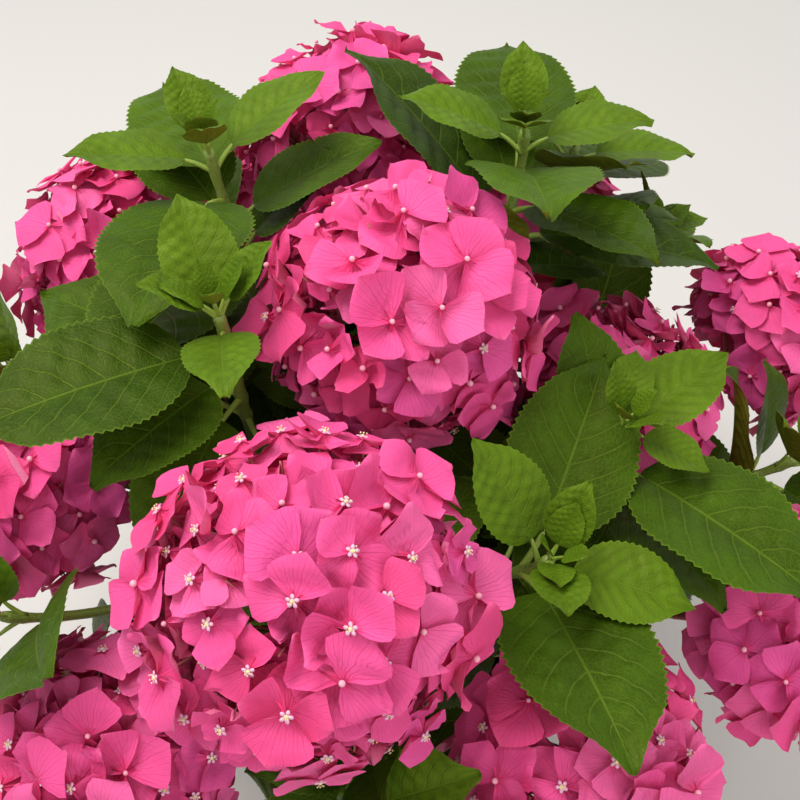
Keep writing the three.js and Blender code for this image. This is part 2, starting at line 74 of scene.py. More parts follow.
MM = 0.001
FULL_TURN = 2 * math.pi
UP = np.array([0.0, 0.0, 1.0])
RIPPLE_SPREAD = 1.7

# Pot
POT_HEIGHT = 255.0
RIM_RADIUS = 150.0
FOOT_RADIUS = 105.0
POT_WALL = 9.0
POT_FLOOR = 12.0
COLLAR_HEIGHT = 44.0
COLLAR_PROUD = 6.0
RIM_ROUND = 3.0
DRAIN_HOLE_RADIUS = 8.0
DRAIN_HOLE_CIRCLE = 60.0
DRAIN_HOLES = 3
POT_SEGMENTS = 144

# Marks of throwing on the pot: depth of each ring wave, its step up the wall, and how far it sways
THROWN_RINGS = [(0.35, 5.5, 0.0), (0.25, 2.3, 0.4)]
OUT_OF_ROUND = 0.7
TWISTED = 0.35
TWIST_HEIGHT = 60

# Soil
SOIL_LEVEL = POT_HEIGHT - 25.0
SOIL_FLAT_RADIUS = 55.0
SOIL_FALL = 7.0
SOIL_SEGMENTS = 150
SOIL_CRUMBS = 420
CRUMB_RANGE = (1.0, 3.4)
CRUMB_SHAPE = (1.2, 1.0, 0.6)
CRUMB_ROUGHNESS = 0.25
WOOD_CHIP_SHARE = 0.2

# Lumps and grain of the soil's top: the height and width of each kind, and its seed
SOIL_LUMPS = [(2.2, 22, 5), (1.3, 9, 6)]
SOIL_GRAIN = (0.7, 4.5, 7)
LUMPS_SUNK = 1.6

# Woody crown and canes
CROWN_RADIUS = 27.0
CROWN_HEIGHT = 34.0
ROOT_FLARE = 12.0
CROWN_LEAN = 4.0
CROWN_SEGMENTS = 120
GAP = 0.3
CANE_FOOT_RADIUS = 6.5
CANE_TIP_RADIUS = 4.6
CANE_ROOT_SHARE = 0.16
CANE_ROOT_HEIGHT = 14.0
CANE_SIDES = 28
CANE_RINGS = 48

# Bark: how deep its relief is and what each kind adds to it, and its rings at the nodes
BARK_DEPTH = 0.32
FISSURES = 0.35
FLAKES = 0.3
NODE_RINGS = 1.6
NODE_STEP = 31
NODE_SHIFT = 9
NODE_WIDTH = 1.8

# Green shoots
PULL = 0.3
FORK_STEM = 14.0
FORK_SUNK = 2.0
SHOOT_FOOT_RADIUS = 3.8
SHOOT_TIP_RADIUS = 2.6
SHOOT_STEPS = 6
SHOOT_END_PULL = 0.4
JOINT_SWELLING = 0.45
JOINT_LENGTH = 4.0
TRUNK_SUNK = 2.0
TRUNK_COLLAR = 0.4
TRUNK_RINGS = 6
FEWEST_RINGS = 16
RING_STEP = 4
STEM_SIDES = 12

# Leaves: shares are of the blade's length unless they say otherwise, and ages count pairs from the tip
YOUNG = 2
LEAF_LENGTH = 108.0
LEAF_WIDTH = 0.68
LEAF_DROOP = 0.11
LEAF_FOLD = 0.16
PROFILE_RISE = 0.52
PROFILE_FALL = 0.8
TIP_NARROWING = 0.34
TIP_NARROWS = (0.74, 0.95)
FACE_TO_SKY = 0.6
STEEPEST_DIP = -0.3
LOWEST_JOINT = 0.06
TURN_JITTER = 9.0
LIFT_JITTER = 7.0
SIZE_JITTER = 0.08
SAME_POINT = 0.2

# Leaf stalks
PETIOLE_LENGTH = 25.0
PETIOLE_RADIUS = 1.6
PETIOLE_RISE = 0.45
PETIOLE_TAPER = np.array([1.9, 1.35, 1.2, 1.1, 0.9, 0.3])
SHORTEST_PETIOLE = 0.4
THINNEST_PETIOLE = 0.4
PETIOLE_PULLS = (0.4, 0.35)
PETIOLE_END = 0.05
PETIOLE_BELOW = 0.7
STALK_SIDES = 8

# Teeth, veins and relief of a blade
FULL_LEAF = 0.7
FULL_LEAF_TEETH = 25
SMALL_LEAF_TEETH = 17
BLADE_START = 0.003
TOOTH_FOOT = 0.02
TOOTH_POINT = 0.8
POINT_SHIFT = 0.004
LAST_TOOTH = 0.985
LEAF_SIDES = np.array([-1, -0.78, -0.5, -0.2, 0, 0.2, 0.5, 0.78, 1.0])
WIDTH_RANGE = (0.96, 1.06)
VEIN_PAIRS = 7.5
VEIN_ARCH = 0.3
VEIN_BEND = 1.2
FIRST_VEIN = 0.25
SWELLING = 1.35
YOUNG_SWELLING = 1.8
SWELLING_BLUNTED = 0.7
SWELLING_ACROSS = 0.8
SWELLING_ALONG = 0.5
WAVES_RANGE = (1.2, 2.4)
CURL_RANGE = (0.0, 0.5)
CURLED = 0.18
GROOVE = 0.007
GROOVE_FADES = 0.7
MIDRIB = 0.012

# How often each green is dealt to a leaf
BRIGHT_SHARE = 0.1
DEEP_SHARE = 0.25
DEEP_SHARE_LOW = 0.5

# Canes: name, compass angle from +X, reach from the axis, height of the tip, and the tip's angle of rise
CANES = [
    ("centre", -120, 12, 302, 85),
    ("front", -92, 76, 304, 48),
    ("front_right", -48, 82, 292, 38),
    ("right", -12, 36, 276, 16),
    ("back_right", 60, 82, 302, 40),
    ("back", 106, 82, 300, 44),
    ("left_back", 150, 80, 306, 46),
    ("left", -172, 78, 300, 44),
    ("front_left", -133, 80, 294, 36),
]

# Shoots: name, the cane that carries it, the middle of its flower head or its leafy tip, the head's radius
# (0 for a leafy tip), how far the tip leans out from upright, the turn of its first leaf pair, and its
# number of leaf pairs
SHOOTS = [
    ("top", "centre", (-11, -15, 452), 82, 4, 40, 2),
    ("leafy_middle", "centre", (60, 88, 500), 0, -6, 122, 5),
    ("front", "front", (-53, -181, 432), 86, 34, 10, 2),
    ("leafy_front", "front", (64, -141, 406), 0, 22, 52, 4),
    ("leafy_low_front", "front", (-32, -236, 316), 0, 50, 0, 4),
    ("low_front", "front_right", (80, -210, 313), 77, 50, 0, 3),
    ("low_right", "front_right", (205, -118, 305), 68, 60, 20, 3),
    ("leafy_right", "front_right", (107, -66, 420), 0, 10, 62, 4),
    ("right", "right", (115, 12, 352), 74, 42, 0, 1),
    ("leafy_side", "right", (240, -4, 318), 0, 48, 20, 3),
    ("low_back_right", "back_right", (240, 100, 322), 72, 60, 15, 3),
    ("low_back", "back_right", (90, 215, 320), 72, 52, 0, 2),
    ("leafy_back", "back_right", (105, 172, 430), 0, 22, -68, 4),
    ("leafy_back_right", "back_right", (160, 160, 362), 0, 38, 60, 3),
    ("back", "back", (-44, 171, 430), 78, 30, 25, 3),
    ("low_back_left", "back", (-100, 235, 300), 72, 60, 0, 3),
    ("leafy_low_back", "back", (-5, 258, 330), 0, 50, 30, 3),
    ("left_back", "left_back", (-190, 105, 385), 75, 45, 20, 2),
    ("leafy_left_back", "left_back", (-120, 78, 494), 0, 12, 51, 5),
    ("leafy_low_left_back", "left_back", (-192, 192, 332), 0, 42, 45, 4),
    ("left", "left", (-225, -45, 340), 72, 55, 10, 3),
    ("leafy_left_side", "left", (-254, 38, 350), 0, 42, 10, 4),
    ("leafy_left", "left", (-102, -50, 488), 0, 8, 83, 4),
    ("front_left", "front_left", (-162, -198, 302), 75, 60, 0, 3),
    ("leafy_front_left", "front_left", (-230, -130, 335), 0, 45, 40, 4),
]
SHOOT_NAMES = [facts[0] for facts in SHOOTS]

# Leaf pairs from a shoot's tip down: distance from the pair above, size of the blade, and lift above square
FLOWERING_PAIRS = [(14, 0.92, 4), (38, 1.04, 10), (42, 1.0, 8)]
LEAFY_PAIRS = [(4, 0.36, 48), (10, 0.58, 24), (20, 1.04, 14), (40, 1.08, 8), (44, 0.96, 6)]

# Young leaves still folded round the bud of a leafy shoot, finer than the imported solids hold
BUD_PAIRS = [(0.0, 0.17, 66.0), (2.0, 0.25, 58.0)]

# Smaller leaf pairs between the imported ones: distance from the shoot's tip, size of the blade, and lift
FLOWERING_SMALL_PAIRS = [(34, 0.74, 8), (74, 0.8, 8), (112, 0.72, 6), (140, 0.62, 4)]
LEAFY_SMALL_PAIRS = [(54, 0.78, 10), (96, 0.8, 6), (134, 0.7, 6)]
HEAD_CLEARANCE = 3.0
EDGE_CLEARANCE = 4.0
SMALL_AGE = 2
COARSE_SHARES = np.array([0.12, 0.4, 0.72])

# What a leaf tries in turn: shares of its size, changes of its lift and changes of its turn
LEAF_TRIES = list(
    itertools.product([1, 0.86, 0.72, 0.6], [0, -12, 12, -26, 26, -42], [0, 14, -14, 30, -30, 48, -48])
)
SMALL_TRIES = list(itertools.product([1, 0.82, 0.66], [0, -14, 14, -28, 28], [0, 20, -20, 40, -40]))
ONE_TRY = [(1, 0, 0)]

# Florets of a head: where they stand on its dome, which way they face and how large they are
DOME_ANGLE = 124.0
GOLDEN_ANGLE = 137.508
HEAD_SIZE = 80.0
OUTERMOST = 6.0
SUNK_LEVELS = [0.0, 4.5, 9.0, 2.0, 6.5]
SUNK_JITTER = 1.2
LOW_SUNK = 7.0
LOW_ON_HEAD = (0.15, -0.45)
OUT_JITTER = 0.035
LEAN_JITTER = 0.6
FACE_FORWARD = 0.26
FACES_FORWARD = (-0.5, 0.3)
DEEP_SMALLER = 0.018
SMALL_FLORETS = 0.14
SMALL_FLORET_SIZE = 0.7
FLORET_RANGE = (0.9, 1.12)

# Sepals: shares are of a sepal's length unless they say otherwise
SEPALS = 4
SEPAL_SHARES = np.array([0.03, 0.17, 0.33, 0.48, 0.63, 0.77, 0.89, 0.97])
SEPAL_SIDES = np.array([-1, -0.55, 0, 0.55, 1.0])
SEPAL_WIDEST = 0.53
SEPAL_ROUND_FOOT = 2.2
SEPAL_POINTED_TIP = 1.3
SEPAL_OVERLAP = 0.3
SEPAL_TURN_JITTER = 5
SEPAL_LENGTH_RANGE = (0.84, 1.08)
SEPAL_WIDTH_RANGE = (0.88, 1.12)
FLORET_CUP = (-0.22, 0.0)
SEPAL_CUP = (-0.09, 0.12)
RAISED_SEPALS = 0.08
RAISED_CUP = (0.2, 0.45)
SEPAL_FOLD = (-0.08, 0.2)
SEPAL_TWIST = (-0.1, 0.1)
SEPAL_WAVE = 8.0
WAVE_BETWEEN_SIDES = 1.5

# Laying the sepals down: the places checked on each, the room they keep, and the map of free space
CHECKED_SHARES = np.linspace(0.03, 0.975, 25)
CHECKED_SIDES = np.linspace(-1, 1, 21)
HEART_SHARE = 0.24
HEART_RADIUS = 4.5
HEART_ROOM = 3.0
DISC_POINTS = 16
SEPAL_GAP = 1.2
DEEPEST = 13.0
OWN_HEIGHT = 0.5
MAP_CELL = 0.02
MAP_HALF = 160

# How the rose tints are dealt to the florets: deep, pale and a few mauve ones at random, and more mauve ones
# low on each head as painted shade
DEEP_FROM = 0.6
PALE_FROM = 0.8
MAUVE_SHARE = 0.05
MAUVE_PAINTED_SHADE_SHARE = 0.5
MAUVE_PAINTED_SHADE_HEIGHTS = (0.25, -0.5)

# Middles of the florets: closed beads, or small open flowers
OPEN_HEADS = ("front", "low_front", "front_left")
OPEN_ELSEWHERE = 0.12
BEAD_LIFT = 1.5
BEAD_RANGE = (1.25, 1.7)
OPEN_BEAD = 1.0
SMALL_PETALS = 5
SMALL_PETAL_SIZE = np.array([1.4, 1.05, 0.42])
SMALL_PETAL_LIFT = 1.4
SMALL_PETAL_OUT = 1.9
ANTHER_RADIUS = 0.4
ANTHER_LIFT = 3.0
ANTHER_OUT = 1.7
ANTHER_ASIDE = 0.5
ANTHER_LEAN = (0.3, 1.0)

# Stalks inside a head: shares are of its radius
STUB_SHARE = 0.95
STUB_SWELLING = 0.3
STUB_RINGS = 5
STUB_SIDES = 10
FORK_SHARE = 0.5
RAYS = 8
RAY_EVERY = 9
RAY_REACH = 0.5
RAY_DROP = 0.12
RAY_SUNK = 2
RAY_RADII = np.linspace(1.7, 1.1, 5)
RAY_SIDES = 6
FLORET_STALK_RADII = np.linspace(0.8, 0.6, 3)
FLORET_STALK_SIDES = 5
FLORET_STALK_END = 0.3

# The finishes of each kind of piece, by number
DEEP_LEAF, MID_LEAF, BRIGHT_LEAF, YOUNG_LEAF, UNDERSIDE, YOUNG_UNDERSIDE = range(6)
ROSE, DEEP_ROSE, PALE_ROSE, MAUVE_ROSE, SEPAL_BACK = range(5)
BEAD, STAR, CREAM, FLOWER_STALK = range(4)
GREEN_STEM, LEAF_STALK = range(2)
CRUMB, WOOD_CHIP = 1, 2

# Finishes: the tints of sepals and leaves, and the name, colour and roughness of the small parts in a head
ROSE_TINTS = ("rose", "deep rose", "pale rose", "mauve rose")
LEAF_TINTS = ("deep leaf", "mid leaf", "bright leaf", "young leaf")
HEART_PARTS = (
    ("flower bead", "bead", 0.5),
    ("small petal", "small_petal", 0.5),
    ("anther", "anther", 0.7),
    ("flower stalk", "flower_stalk", 0.5),
)

# Ruffles of a sepal's edge: depth, waves along it, and how they shift by its phase and from side to side
SEPAL_RUFFLES = [(0.05, 13, 1, 2.0), (0.035, 31, -2, 1)]

# Veins that fan out on a sepal: how many to a radian, where they begin along it, and how strong they are
SEPAL_VEINS = ((7, -0.2, 1.0), (14, 0.28, 0.7), (28, 0.5, 0.35))

# View and light: the photograph's frame is 800 pixels square
FRAME_PIXELS = 800
FOCAL_PIXELS = 1200
SENSOR_MM = 36.0
CAMERA_PLACE = (-0.011, -0.4835, 0.9057)
CAMERA_ELEVATION = 48.0
LIT_PLACE = Vector((0, 0, 0.35))
LIGHTS = [("key", (-0.7, 0.2, 2.1), 38.0, 1.2), ("fill", (1.2, -1.8, 1.7), 18.0, 2.2)]
LIGHT_COLOUR = (1.0, 0.97, 0.92)
SKY_COLOUR = (1.0, 0.99, 0.97, 1.0)
SKY_STRENGTH = 0.8
FLOOR_COLOUR = (0.59, 0.58, 0.56, 1.0)
FLOOR_SIZE = 40.0


def unit(vector):
    """The vector, or each row of vectors, at length one."""
    vector = np.asarray(vector, float)
    return vector / np.linalg.norm(vector, axis=-1, keepdims=True)


def heading(angle, rise):
    """The direction at a compass angle from +X that rises by the other angle, both in degrees."""
    around = math.radians(angle)
    above = math.radians(rise)
    level = math.cos(above)
    return np.array([level * math.cos(around), level * math.sin(around), math.sin(above)])


def smooth(low, high, value):
    """The smooth step 3x^2 - 2x^3, with x running from 0 at low to 1 at high."""
    share = np.clip((value - low) / (high - low), 0, 1)
    return share * share * (3 - 2 * share)


def throws(seed):
    """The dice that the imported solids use: each throw is from -1 to 1."""
    state = (seed * 7919 + 17) % 2**32
    while True:
        state = (state * 1664525 + 1013904223) % 2**32
        yield 2 * state / 2**32 - 1


def ripple(points, size, seed, waves=7):
    """A smooth field: sine waves of about the given size that run in random directions, added up."""
    rng = np.random.default_rng(seed)
    runs = rng.normal(size=(3, waves)) * (FULL_TURN / size / RIPPLE_SPREAD)
    return np.sin(points @ runs + rng.uniform(0, FULL_TURN, waves)).sum(-1) / math.sqrt(waves)


def column(values):
    """One value or vector for each copy, ready to spread over the copy's grid of corners."""
    return np.asarray(values)[:, None, None]


def spread(base, directions, steps):
    """Each base moved along its three directions by the steps."""
    points = base
    for direction, step in zip(directions, steps):
        points = points + direction * step[..., None]
    return points


class Course:
    """A cubic curve read by shares of its length.

    Its point at a time t is (1-t)^3 a + 3(1-t)^2 t b + 3(1-t) t^2 c + t^3 d.
    """

    def __init__(self, start, leaving, end, arriving, start_pull=PULL, end_pull=PULL):
        span = np.linalg.norm(end - start)
        handles = [start + leaving * start_pull * span, end - arriving * end_pull * span]
        self.knots = np.array([start, *handles, end])
        self.times = np.linspace(0, 1, 201)
        steps = np.linalg.norm(np.diff(self.at(self.times), axis=0), axis=1)
        self.reached = np.concatenate([[0], np.cumsum(steps)])
        self.length = self.reached[-1]

    def at(self, time):
        t = np.asarray(time, float)[..., None]
        a, b, c, d = self.knots
        return (1 - t) ** 3 * a + 3 * (1 - t) ** 2 * t * b + 3 * (1 - t) * t**2 * c + t**3 * d

    def time(self, share):
        return np.interp(np.asarray(share) * self.length, self.reached, self.times)

    def point(self, share):
        return self.at(self.time(share))

    def tangent(self, share):
        t = self.time(share)[..., None]
        a, b, c, d = self.knots
        return unit((1 - t) ** 2 * (b - a) + 2 * (1 - t) * t * (c - b) + t**2 * (d - c))


class Gather:
    """Many small shapes joined into one mesh: corners and triangles, with a finish number for each triangle
    and a UV for each corner."""

    def __init__(self):
        self.points = []
        self.faces = []
        self.finishes = []
        self.uvs = []
        self.count = 0

    def add(self, points, faces, finishes, uvs=((0.0, 0.0),)):
        """Adds copies of one shape. Points are (copies, corners, 3), faces are one copy's triangles, and
        finishes are one number for all, one for each copy, or one for each triangle of each copy."""
        copies, corners = points.shape[:2]
        shift = self.count + corners * np.arange(copies)
        self.points.append(points.reshape(-1, 3))
        self.faces.append((faces[None] + shift[:, None, None]).reshape(-1, 3))
        finishes = np.asarray(finishes)
        if finishes.ndim == 1:
            finishes = finishes[:, None]
        self.finishes.append(np.broadcast_to(finishes, (copies, len(faces))).reshape(-1))
        self.uvs.append(np.broadcast_to(uvs, (copies, corners, 2)).reshape(-1, 2))
        self.count += copies * corners

    def piece(self, name, materials, slot, *nodes):
        """The mesh as a named piece that rides on the root, and stands for the nodes."""
        points = np.concatenate(self.points) * MM
        faces = np.concatenate(self.faces)
        mesh = bpy.data.meshes.new(name)
        mesh.vertices.add(len(points))
        mesh.vertices.foreach_set("co", points.astype(np.float32).ravel())
        mesh.loops.add(faces.size)
        mesh.loops.foreach_set("vertex_index", faces.astype(np.int32).ravel())
        mesh.polygons.add(len(faces))
        mesh.polygons.foreach_set("loop_start", np.arange(0, faces.size, 3, dtype=np.int32))
        mesh.polygons.foreach_set("material_index", np.concatenate(self.finishes).astype(np.int32))
        mesh.update(calc_edges=True)
        mesh.shade_smooth()
        crease_between_finishes(mesh)
        layer = mesh.uv_layers.new(name="surface")
        layer.uv.foreach_set("vector", np.concatenate(self.uvs)[faces.ravel()].astype(np.float32).ravel())
        for material in materials:
            mesh.materials.append(material)
        mesh.validate()
        piece = link(bpy.data.objects.new(name, mesh))
        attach(piece, "root")
        if nodes:
            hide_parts(*nodes)
        return piece


def crease_between_finishes(mesh):
    """Marks edges where two finishes meet as sharp, so that a blade's thin rim doesn't round its shading."""
    edges = np.empty(len(mesh.loops), np.int32)
    finishes = np.empty(len(mesh.polygons), np.int32)
    mesh.loops.foreach_get("edge_index", edges)
    mesh.polygons.foreach_get("material_index", finishes)
    least = np.full(len(mesh.edges), len(mesh.polygons))
    most = np.full(len(mesh.edges), -1)
    np.minimum.at(least, edges, np.repeat(finishes, 3))
    np.maximum.at(most, edges, np.repeat(finishes, 3))
    mesh.edges.foreach_set("use_edge_sharp", least != most)


def link(thing):
    """Puts an object in the scene."""
    bpy.context.scene.collection.objects.link(thing)
    return thing


def grid_faces(grid):
    """Two triangles for each cell of a grid of corner numbers, with rows along and columns across."""
    a, b, c, d = grid[:-1, :-1], grid[:-1, 1:], grid[1:, 1:], grid[1:, :-1]
    halves = [np.stack([a, b, c], -1).reshape(-1, 3), np.stack([a, c, d], -1).reshape(-1, 3)]
    return np.concatenate(halves)


def ring_faces(rows, columns):
    """Triangles of rings that follow each other, closed at both ends round two last corners."""
    grid = np.arange(rows * columns).reshape(rows, columns)
    ends = np.roll(grid, -1, axis=1)
    foot = np.stack([ends[0], grid[0], np.full(columns, grid.size)], -1)
    head = np.stack([grid[-1], ends[-1], np.full(columns, grid.size + 1)], -1)
    return np.concatenate([grid_faces(np.concatenate([grid, grid[:, :1]], axis=1)), foot, head])


@functools.cache
def blade_faces(rows, columns):
    """Triangles of a closed blade, upper ones first, and how many are upper.

    An upper and a lower grid share their two side columns and one tip, and are closed across the first row.
    """
    upper = np.arange(rows * columns).reshape(rows, columns)
    tip = rows * columns
    lower = upper.copy()
    lower[:, 1:-1] = tip + 1 + np.arange(rows * (columns - 2)).reshape(rows, columns - 2)

    def sheet(grid):
        end = np.stack([grid[-1, :-1], grid[-1, 1:], np.full(columns - 1, tip)], -1)
        return np.concatenate([grid_faces(grid), end])

    start = grid_faces(np.stack([lower[0], upper[0]]))
    a, b, c = start.T
    start = start[(a != b) & (b != c) & (a != c)]
    return np.concatenate([sheet(upper), sheet(lower)[:, ::-1], start]), len(sheet(upper))


def add_blades(gather, upper, tips, thick, face, tints, backs, uvs):
    """Adds closed blades from the grids of their upper faces, their tips and the thickness at each corner.

    The lower face is the upper one less the thickness times the face direction. Each blade has one finish
    above and another below, and the UVs are those of one upper grid.
    """
    lower = upper - face * thick[..., None]
    copies = len(upper)
    faces, upper_count = blade_faces(*upper.shape[1:3])
    finishes = np.where(np.arange(len(faces)) < upper_count, tints[:, None], backs[:, None])
    inner = lower[:, :, 1:-1].reshape(copies, -1, 3)
    corners = np.concatenate([upper.reshape(copies, -1, 3), tips[:, None], inner], axis=1)
    uvs = np.concatenate([uvs.reshape(-1, 2), [[0.5, 1.0]], uvs[:, 1:-1].reshape(-1, 2)])
    gather.add(corners, faces, finishes, uvs)


def frames_along(course, shares):
    """Two directions square to a curve at each share, carried along it with the least turn."""
    tangents = course.tangent(shares)
    seed = np.eye(3)[np.argmin(np.abs(tangents[0]))]
    normal = unit(np.cross(tangents[0], np.cross(tangents[0], seed)))
    normals = []
    for tangent in tangents:
        normal = unit(normal - tangent * normal.dot(tangent))
        normals.append(normal)
    return np.array(normals), np.cross(tangents, normals)


def add_tube(gather, course, radii, sides, finish, relief=None):
    """A closed tube with a ring for each radius, evenly along the curve, and a relief if one is given."""
    shares = np.linspace(0, 1, len(radii))
    normals, binormals = frames_along(course, shares)
    around = np.linspace(0, FULL_TURN, sides, endpoint=False)
    along, turn = np.meshgrid(shares * course.length, around, indexing="ij")
    reach = np.asarray(radii, float)[:, None] + (relief(along, turn) if relief else np.zeros(turn.shape))
    ring = np.cos(turn)[..., None] * normals[:, None] + np.sin(turn)[..., None] * binormals[:, None]
    centres = course.point(shares)
    points = centres[:, None] + reach[..., None] * ring
    corners = np.concatenate([points.reshape(-1, 3), centres[:1], centres[-1:]])
    ends = [[0.5, 0.0], [0.5, course.length]]
    uvs = np.concatenate([np.stack([turn / FULL_TURN, along], -1).reshape(-1, 2), ends])
    gather.add(corners[None], ring_faces(len(shares), sides), finish, uvs)


@functools.cache
def ball(divisions):
    """Corners and triangles of a unit ball made from an icosahedron."""
    shape = bmesh.new()
    bmesh.ops.create_icosphere(shape, subdivisions=divisions, radius=1.0)
    corners = np.array([corner.co[:] for corner in shape.verts])
    faces = np.array([[corner.index for corner in face.verts] for face in shape.faces])
    shape.free()
    return corners, faces


def cane_end(cane):
    """A cane's tip and the direction it points there."""
    _, angle, reach, height, rise = cane
    tip = heading(angle, 0) * reach
    tip[2] = height
    return tip, heading(angle, rise)


def cane_course(cane):
    """A cane's curve, from inside the woody crown to its tip."""
    _, angle, reach, _, rise = cane
    tip, along = cane_end(cane)
    root = heading(angle, 0) * CANE_ROOT_SHARE * reach
    root += [0.5 * CROWN_LEAN, 0, SOIL_LEVEL + CANE_ROOT_HEIGHT]
    return Course(root, heading(angle, rise), tip, along)


class Shoot:
    """One green shoot: where it starts, its curve, and the axis of its flower head or leafy tip."""

    def __init__(self, facts, fork, along):
        self.name, _, tip, self.head, lean, self.turn, self.pairs = facts
        self.middle = np.array(tip, float)
        self.angle = math.degrees(math.atan2(tip[1], tip[0]))
        self.axis = heading(self.angle, 90 - lean)
        end = self.middle - self.axis * STUB_SHARE * self.head
        leaving = unit(unit(end - fork) + along)
        self.course = Course(fork, leaving, end, self.axis, PULL, SHOOT_END_PULL)

    def square_at(self, share):
        """The stem's direction at a share of its length, and two directions square to it."""
        stem = self.course.tangent(np.array(share))
        outward = heading(self.angle + 90, 0)
        outward = unit(outward - stem * outward.dot(stem))
        return stem, outward, np.cross(stem, outward)

    def stem_point(self, share):
        """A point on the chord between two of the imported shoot's rings, where its leaves start."""
        ring = min(SHOOT_STEPS - 1, math.floor(share * SHOOT_STEPS))
        below, above = self.course.point(np.array([ring, ring + 1]) / SHOOT_STEPS)
        return below + (above - below) * (share * SHOOT_STEPS - ring)


class Leaf:
    """Where one leaf is: its joint with the stem, the foot of its blade, and the blade's directions."""

    def __init__(self, joint, stem, sideways, lift, size, age):
        rise = math.radians(lift)
        along = sideways * math.cos(rise) + stem * math.sin(rise)
        along[2] = max(along[2], STEEPEST_DIP)
        self.along = unit(along)
        self.stalk = unit(self.along + stem * PETIOLE_RISE)
        self.length = LEAF_LENGTH * size
        self.joint = joint
        petiole = SHORTEST_PETIOLE + (1 - SHORTEST_PETIOLE) * size
        self.base = joint + self.stalk * PETIOLE_LENGTH * petiole
        face = stem * (1 - FACE_TO_SKY) + UP * FACE_TO_SKY
        self.face = unit(face - self.along * face.dot(self.along))
        self.across = np.cross(self.along, self.face)
        self.age = age

    def tip(self):
        """The tip of the blade, which every try carries to another place."""
        return self.base + self.along * self.length - self.face * LEAF_DROOP * self.length

    def coarse_blade(self):
        """A few corners of the blade's outline, from its foot along one side and the other to its tip."""
        half = (0.5 * LEAF_WIDTH * self.length * leaf_outline(COARSE_SHARES))[:, None]
        drop = LEAF_FOLD * half - (LEAF_DROOP * self.length * COARSE_SHARES**2)[:, None]
        middle = self.base + self.along * (self.length * COARSE_SHARES)[:, None] + self.face * drop
        aside = self.across * half
        return np.concatenate([[self.base], middle - aside, middle + aside, [self.tip()]])


def grow_pair(shoot, joint, share, turn, size, lift, age, dice, tries, lets_in):
    """The leaves of one pair, each by the first of its tries that is let in."""
    stem, outward, inward = shoot.square_at(share)
    for half in range(2):
        turned = turn + 180 * half + TURN_JITTER * next(dice)
        lifted = lift + LIFT_JITTER * next(dice)
        sized = size * (1 + SIZE_JITTER * next(dice))
        for try_size, try_lift, try_turn in tries:
            around = math.radians(turned + try_turn)
            sideways = outward * math.cos(around) + inward * math.sin(around)
            leaf = Leaf(joint, stem, sideways, lifted + try_lift, sized * try_size, age)
            if lets_in(leaf):
                yield leaf
                break


def packed_corners(node):
    """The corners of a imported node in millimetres."""
    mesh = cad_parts[node].data
    corners = np.empty(3 * len(mesh.vertices), np.float32)
    mesh.vertices.foreach_get("co", corners)
    return np.unique(corners.reshape(-1, 3).astype(float) / MM, axis=0)


def grow_leaves(shoot, seed, corners):
    """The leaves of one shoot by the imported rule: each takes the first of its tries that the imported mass
    holds, which is the one whose tip is a corner of it."""
    dice = throws(seed)
    pairs = (FLOWERING_PAIRS if shoot.head else LEAFY_PAIRS)[: shoot.pairs]
    leaves = []
    from_tip = 0

    def is_packed(leaf):
        return np.abs(corners - leaf.tip()).sum(1).min() < SAME_POINT

    for number, (step, size, lift) in enumerate(pairs):
        from_tip += step
        share = max(LOWEST_JOINT, 1 - from_tip / shoot.course.length)
        joint = shoot.stem_point(share)
        turn = shoot.turn + 90 * number
        age = number + 2 if shoot.head else number
        leaves += grow_pair(shoot, joint, share, turn, size, lift, age, dice, LEAF_TRIES, is_packed)
    return leaves


def bud_leaves(shoot):
    """Young leaves still folded round the tip of a leafy shoot, all let in and none of them jittered."""
    leaves = []
    steady = itertools.repeat(0.0)
    for number, (from_tip, size, lift) in enumerate(BUD_PAIRS):
        joint = shoot.course.point(np.array(1 - from_tip / shoot.course.length))
        turn = shoot.turn + 90 * (number + 1)
        leaves += grow_pair(shoot, joint, 1.0, turn, size, lift, 0, steady, ONE_TRY, lambda leaf: True)
    return leaves


class Clearance:
    """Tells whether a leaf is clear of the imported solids, the flower heads and the leaves it has let in."""

    TRIANGLES = ((0, 1, 4), (1, 2, 5), (1, 5, 4), (2, 3, 6), (2, 6, 5), (3, 7, 6))

    def __init__(self):
        corners = []
        faces = []
        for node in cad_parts.values():
            shift = len(corners)
            corners += [corner.co / MM for corner in node.data.vertices]
            faces += [[shift + number for number in face.vertices] for face in node.data.polygons]
        self.taken = [BVHTree.FromPolygons(corners, faces)]
        self.low, self.high = (np.array(corner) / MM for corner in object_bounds())
        self.heads = [(np.array(middle), size + HEAD_CLEARANCE) for _, _, middle, size, *_ in SHOOTS if size]

    def lets_in(self, leaf):
        blade = leaf.coarse_blade()
        if (blade < self.low + EDGE_CLEARANCE).any() or (blade > self.high - EDGE_CLEARANCE).any():
            return False
        middle = leaf.base + (leaf.tip() - leaf.base) * COARSE_SHARES[:, None]
        checked = np.concatenate([blade, middle])
        if any((np.linalg.norm(checked - head, axis=1) < radius).any() for head, radius in self.heads):
            return False
        shape = BVHTree.FromPolygons([Vector(corner) for corner in blade], self.TRIANGLES)
        if any(shape.overlap(other) for other in self.taken):
            return False
        self.taken.append(shape)
        return True


def small_leaves(shoot, seed, clearance):
    """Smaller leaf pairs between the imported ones, each where the first of its tries is clear."""
    dice = throws(seed)
    pairs = FLOWERING_SMALL_PAIRS if shoot.head else LEAFY_SMALL_PAIRS
    leaves = []
    for number, (from_tip, size, lift) in enumerate(pairs):
        share = 1 - from_tip / shoot.course.length
        if share < LOWEST_JOINT:
            break
        joint = shoot.course.point(np.array(share))
        turn = shoot.turn + 45 + 90 * number
        lets_in = clearance.lets_in
        leaves += grow_pair(shoot, joint, share, turn, size, lift, SMALL_AGE, dice, SMALL_TRIES, lets_in)
    return leaves


